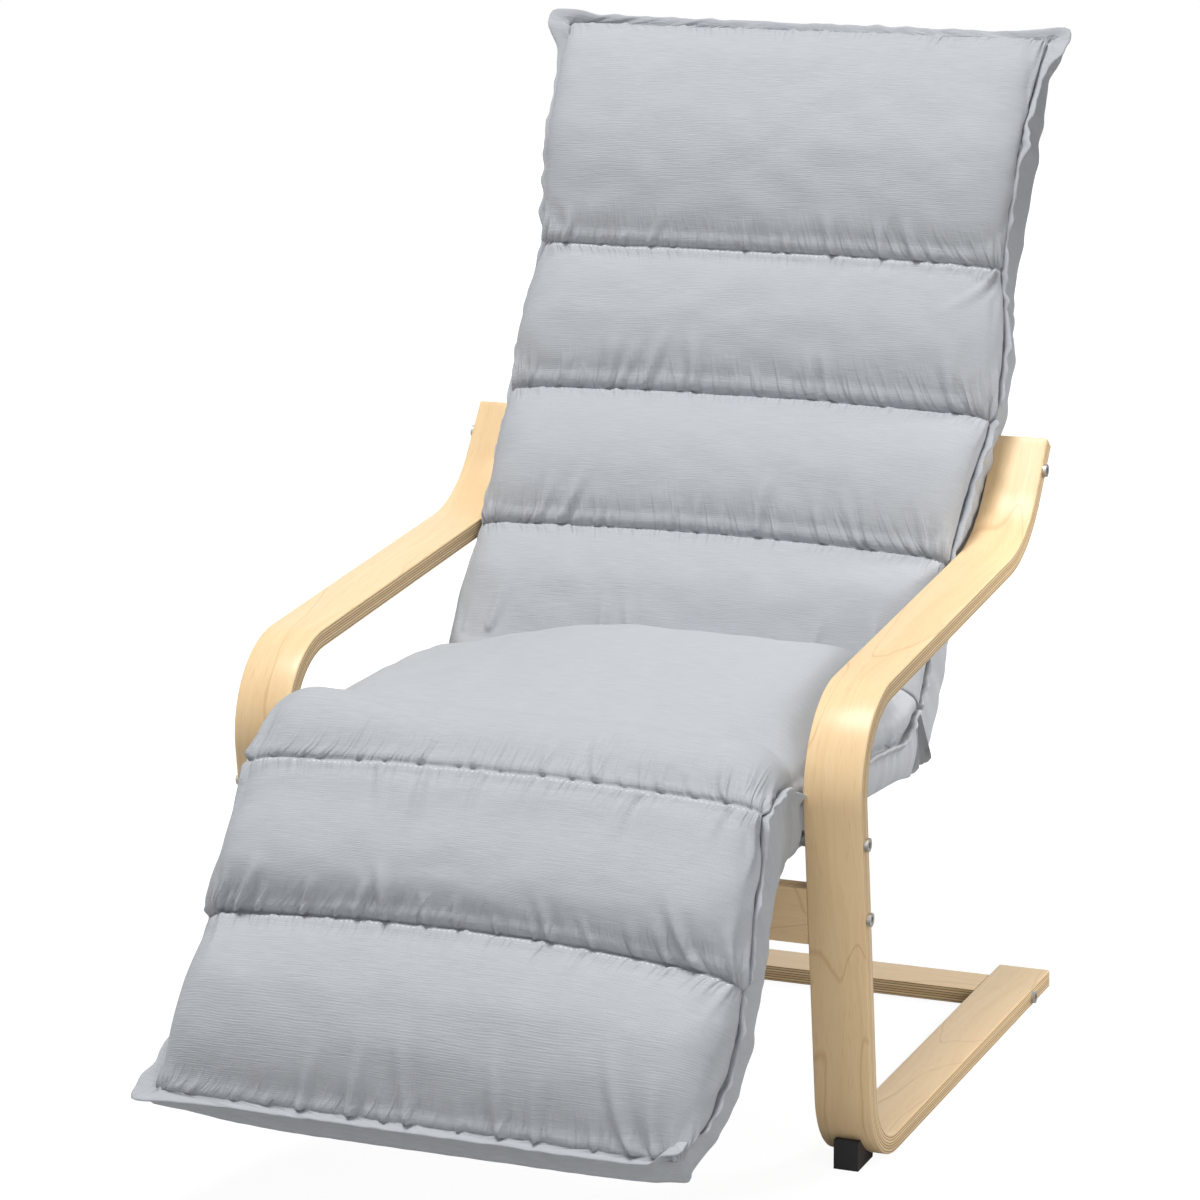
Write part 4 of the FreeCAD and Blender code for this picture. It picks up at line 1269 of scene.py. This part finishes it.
def lowest_along(node, direction):
    return min(vertex.co.dot(Vector(direction)) for vertex in frame["nodes"][node].data.vertices)


into_leg = (0, *go((0, 0), angle_to(strip_corners[1], strip_corners[2]) - 90, 1))
upwards = (0, 0, 1)
finishes = {
    node: board_paint(f"{node}_ply", normal, lowest_along(node, normal))
    for node, normal in (("front_rail", into_leg), ("floor_rail", upwards))
}
print("rails:", ", ".join(finishes))

# %% [markdown]
# The bolts are zinc plated, the steel that turns is brighter, and the tubes are painted
# dark. No real surface has one even shade, so a noise makes each of them a little darker or
# rougher in places. The straps are a coarse black webbing.


# %% Metal, plastic and webbing
def metal_paint(name, colour, roughness, grain):
    paint = Paint(name, colour, roughness, Metallic=1.0)
    patches = paint.noise(paint.place(), grain, 3.0)
    darker = tuple(value * 0.75 for value in colour)
    paint.feed("Base Color", paint.mix(patches, darker, colour))
    paint.feed("Roughness", patches * 0.2 + (roughness - 0.1))
    return paint


def plain_paint(name, colour, roughness, grain, height):
    paint = Paint(name, colour, roughness)
    patches = paint.noise(paint.place(), grain, 4.0)
    darker = tuple(value * 0.7 for value in colour)
    paint.feed("Base Color", paint.mix(patches, darker, colour))
    paint.feed("Normal", paint.bump(patches, height, 0.5))
    return paint


def webbing_paint():
    paint = Paint("strap_webbing", (0.05, 0.05, 0.05), 0.85)
    x, y, z = paint.split(paint.place())
    weave = (x / (2.2 * mm)).math("PINGPONG", 0.5) + ((y + z) / (3 * mm)).math("PINGPONG", 0.5)
    paint.feed("Base Color", paint.mix(weave, (0.02, 0.02, 0.022), (0.09, 0.09, 0.095)))
    paint.feed("Normal", paint.bump(weave, 0.4 * mm, 0.6))
    return paint


zinc = metal_paint("zinc_bolt", (0.62, 0.60, 0.56), 0.34, 320)
plated = metal_paint("plated_steel", (0.55, 0.56, 0.57), 0.28, 240)
tube_paint = plain_paint("dark_tube_paint", (0.045, 0.047, 0.05), 0.42, 700, 0.05 * mm)
black = plain_paint("black_plastic", (0.018, 0.018, 0.02), 0.5, 900, 0.08 * mm)
beech = plain_paint("beech_dowel", (0.62, 0.44, 0.28), 0.6, 260, 0.1 * mm)
webbing = webbing_paint()

# %% [markdown]
# The parts are named for what they are, so a word in the name finds the finish. The first
# word that fits counts: a `tube` comes last, because bushes and sleeves sit on tubes.

# %% Which part gets which finish
by_word = {
    "foot_screws": zinc,
    "barrel": zinc,
    "bolts": zinc,
    "front_foot": black,
    "dowels": beech,
    "sleeves": plated,
    "bushes": plated,
    "plates": plated,
    "cheeks": plated,
    "pins": plated,
    "pawl": plated,
    "springs": plated,
    "rivets": plated,
    "straps": webbing,
    "tube": tube_paint,
}


def paint_node(name, node):
    paint = finishes.get(name) or next((by_word[word] for word in by_word if word in name), None)
    if paint:
        node.data.materials.clear()
        node.data.materials.append(paint.material)
    return bool(paint)


painted = sum(paint_node(name, node) for name, node in frame["nodes"].items())
print("painted", painted, "of", len(frame["nodes"]), "CAD parts")

# %% [markdown]
# ## Studio
#
# The floor is a wide pale sheet, and three large soft lamps and a grey-white sky light the
# chair from the front, the left and above, as in a studio. Two small soft lamps lift the
# base and the front leg, which lie in the shadow of the chair. What the camera sees directly
# as background is pure white: far from the chair the floor's material turns into a plain
# white glow, which only the camera sees.


# %% Floor
white_from, floor_radius = 2.0, 9


def floor_paint():
    paint = Paint("pale_floor", (0.5, 0.5, 0.5), 0.95)
    seen = paint.node("ShaderNodeLightPath", output="Is Camera Ray")
    x, y, _ = paint.split(paint.place())
    reach = (x * x + y * y).math("SQRT")
    away = paint.ramp(reach / white_from, (0.3, 0.78), (0.7, 1.0))
    glow = paint.node("ShaderNodeEmission", inputs={"Color": (1, 1, 1, 1), "Strength": 1.2})
    body = Wire(paint, paint.shader.outputs[0])
    softened = paint.node("ShaderNodeMixShader", inputs=[seen * away, body, glow])
    paint.connect(softened, paint.tree.nodes["Material Output"].inputs["Surface"])
    return paint


def floor():
    mesh = bmesh.new()
    bmesh.ops.create_circle(mesh, cap_ends=True, segments=96, radius=floor_radius)
    bmesh.ops.recalc_face_normals(mesh, faces=mesh.faces[:])
    finished(mesh, "studio_floor", [floor_paint()])


floor()
print("the floor is", 2 * floor_radius, "m wide")

# %% [markdown]
# A large lamp gives soft shadows, and a small one hard shadows. So the key light is a disk of
# almost three metres, high and a little to the left. The spots have wide, soft edges, and
# their cones are narrow, so that they reach only the wood.


# %% Lamps
def lamp(name, turn, height, distance, size, power):
    light = bpy.data.lights.new(name, "AREA")
    light.shape = "DISK"
    light.size = size
    light.energy = power
    made = bpy.data.objects.new(name, light)
    way = direction(turn, height)
    made.location = Vector((0, 0, 0.5)) + way * distance
    made.rotation_euler = way.to_track_quat("Z", "Y").to_euler()
    bpy.context.scene.collection.objects.link(made)


def spot(name, stand, aim, cone, power):
    light = bpy.data.lights.new(name, "SPOT")
    light.spot_size = math.radians(cone)
    light.spot_blend = 1.0
    light.shadow_soft_size = 0.25
    light.energy = power
    made = bpy.data.objects.new(name, light)
    made.location = stand
    made.rotation_euler = (Vector(stand) - Vector(aim)).to_track_quat("Z", "Y").to_euler()
    bpy.context.scene.collection.objects.link(made)


lamp("key", -25, 74, 6.5, 2.9, 396)
lamp("front", -12, 22, 4.5, 2.2, 9)
lamp("right", 60, 25, 4.5, 2.5, 34)
spot("base", (1.35, 0.75, 1.05), (0.2, 0.2, 0.05), 56, 60)
spot("leg", (0.95, -1.65, 0.38), (0.36, -0.3, 0.22), 22, 15)
print("lamps:", ", ".join(light.name for light in bpy.data.lights))

# %% [markdown]
# The sky lights the chair weakly from all sides. A ray from the camera, a mirror image or
# clear glass sees plain white in its place.


# %% Sky
def sky(strength):
    world = bpy.data.worlds.new("studio_sky")
    bpy.context.scene.world = world
    world.use_nodes = True
    world.node_tree.nodes.clear()
    nodes = Nodes(world.node_tree)
    path = nodes.node("ShaderNodeLightPath").socket.node
    rays = [path.outputs[f"Is {kind} Ray"] for kind in ("Camera", "Glossy", "Transmission")]
    camera_ray, glossy_ray, clear_ray = (Wire(nodes, ray) for ray in rays)
    white_where = camera_ray.math("MAXIMUM", glossy_ray).math("MAXIMUM", clear_ray)
    dome = nodes.node("ShaderNodeBackground", inputs=[(1, 1, 1, 1), strength])
    white = nodes.node("ShaderNodeBackground", inputs=[(1, 1, 1, 1), 1.0])
    mixed = nodes.node("ShaderNodeMixShader", inputs=[white_where, dome, white])
    nodes.node("ShaderNodeOutputWorld", inputs=[mixed])


sky_strength = 0.22
sky(sky_strength)
print("sky strength", sky_strength)
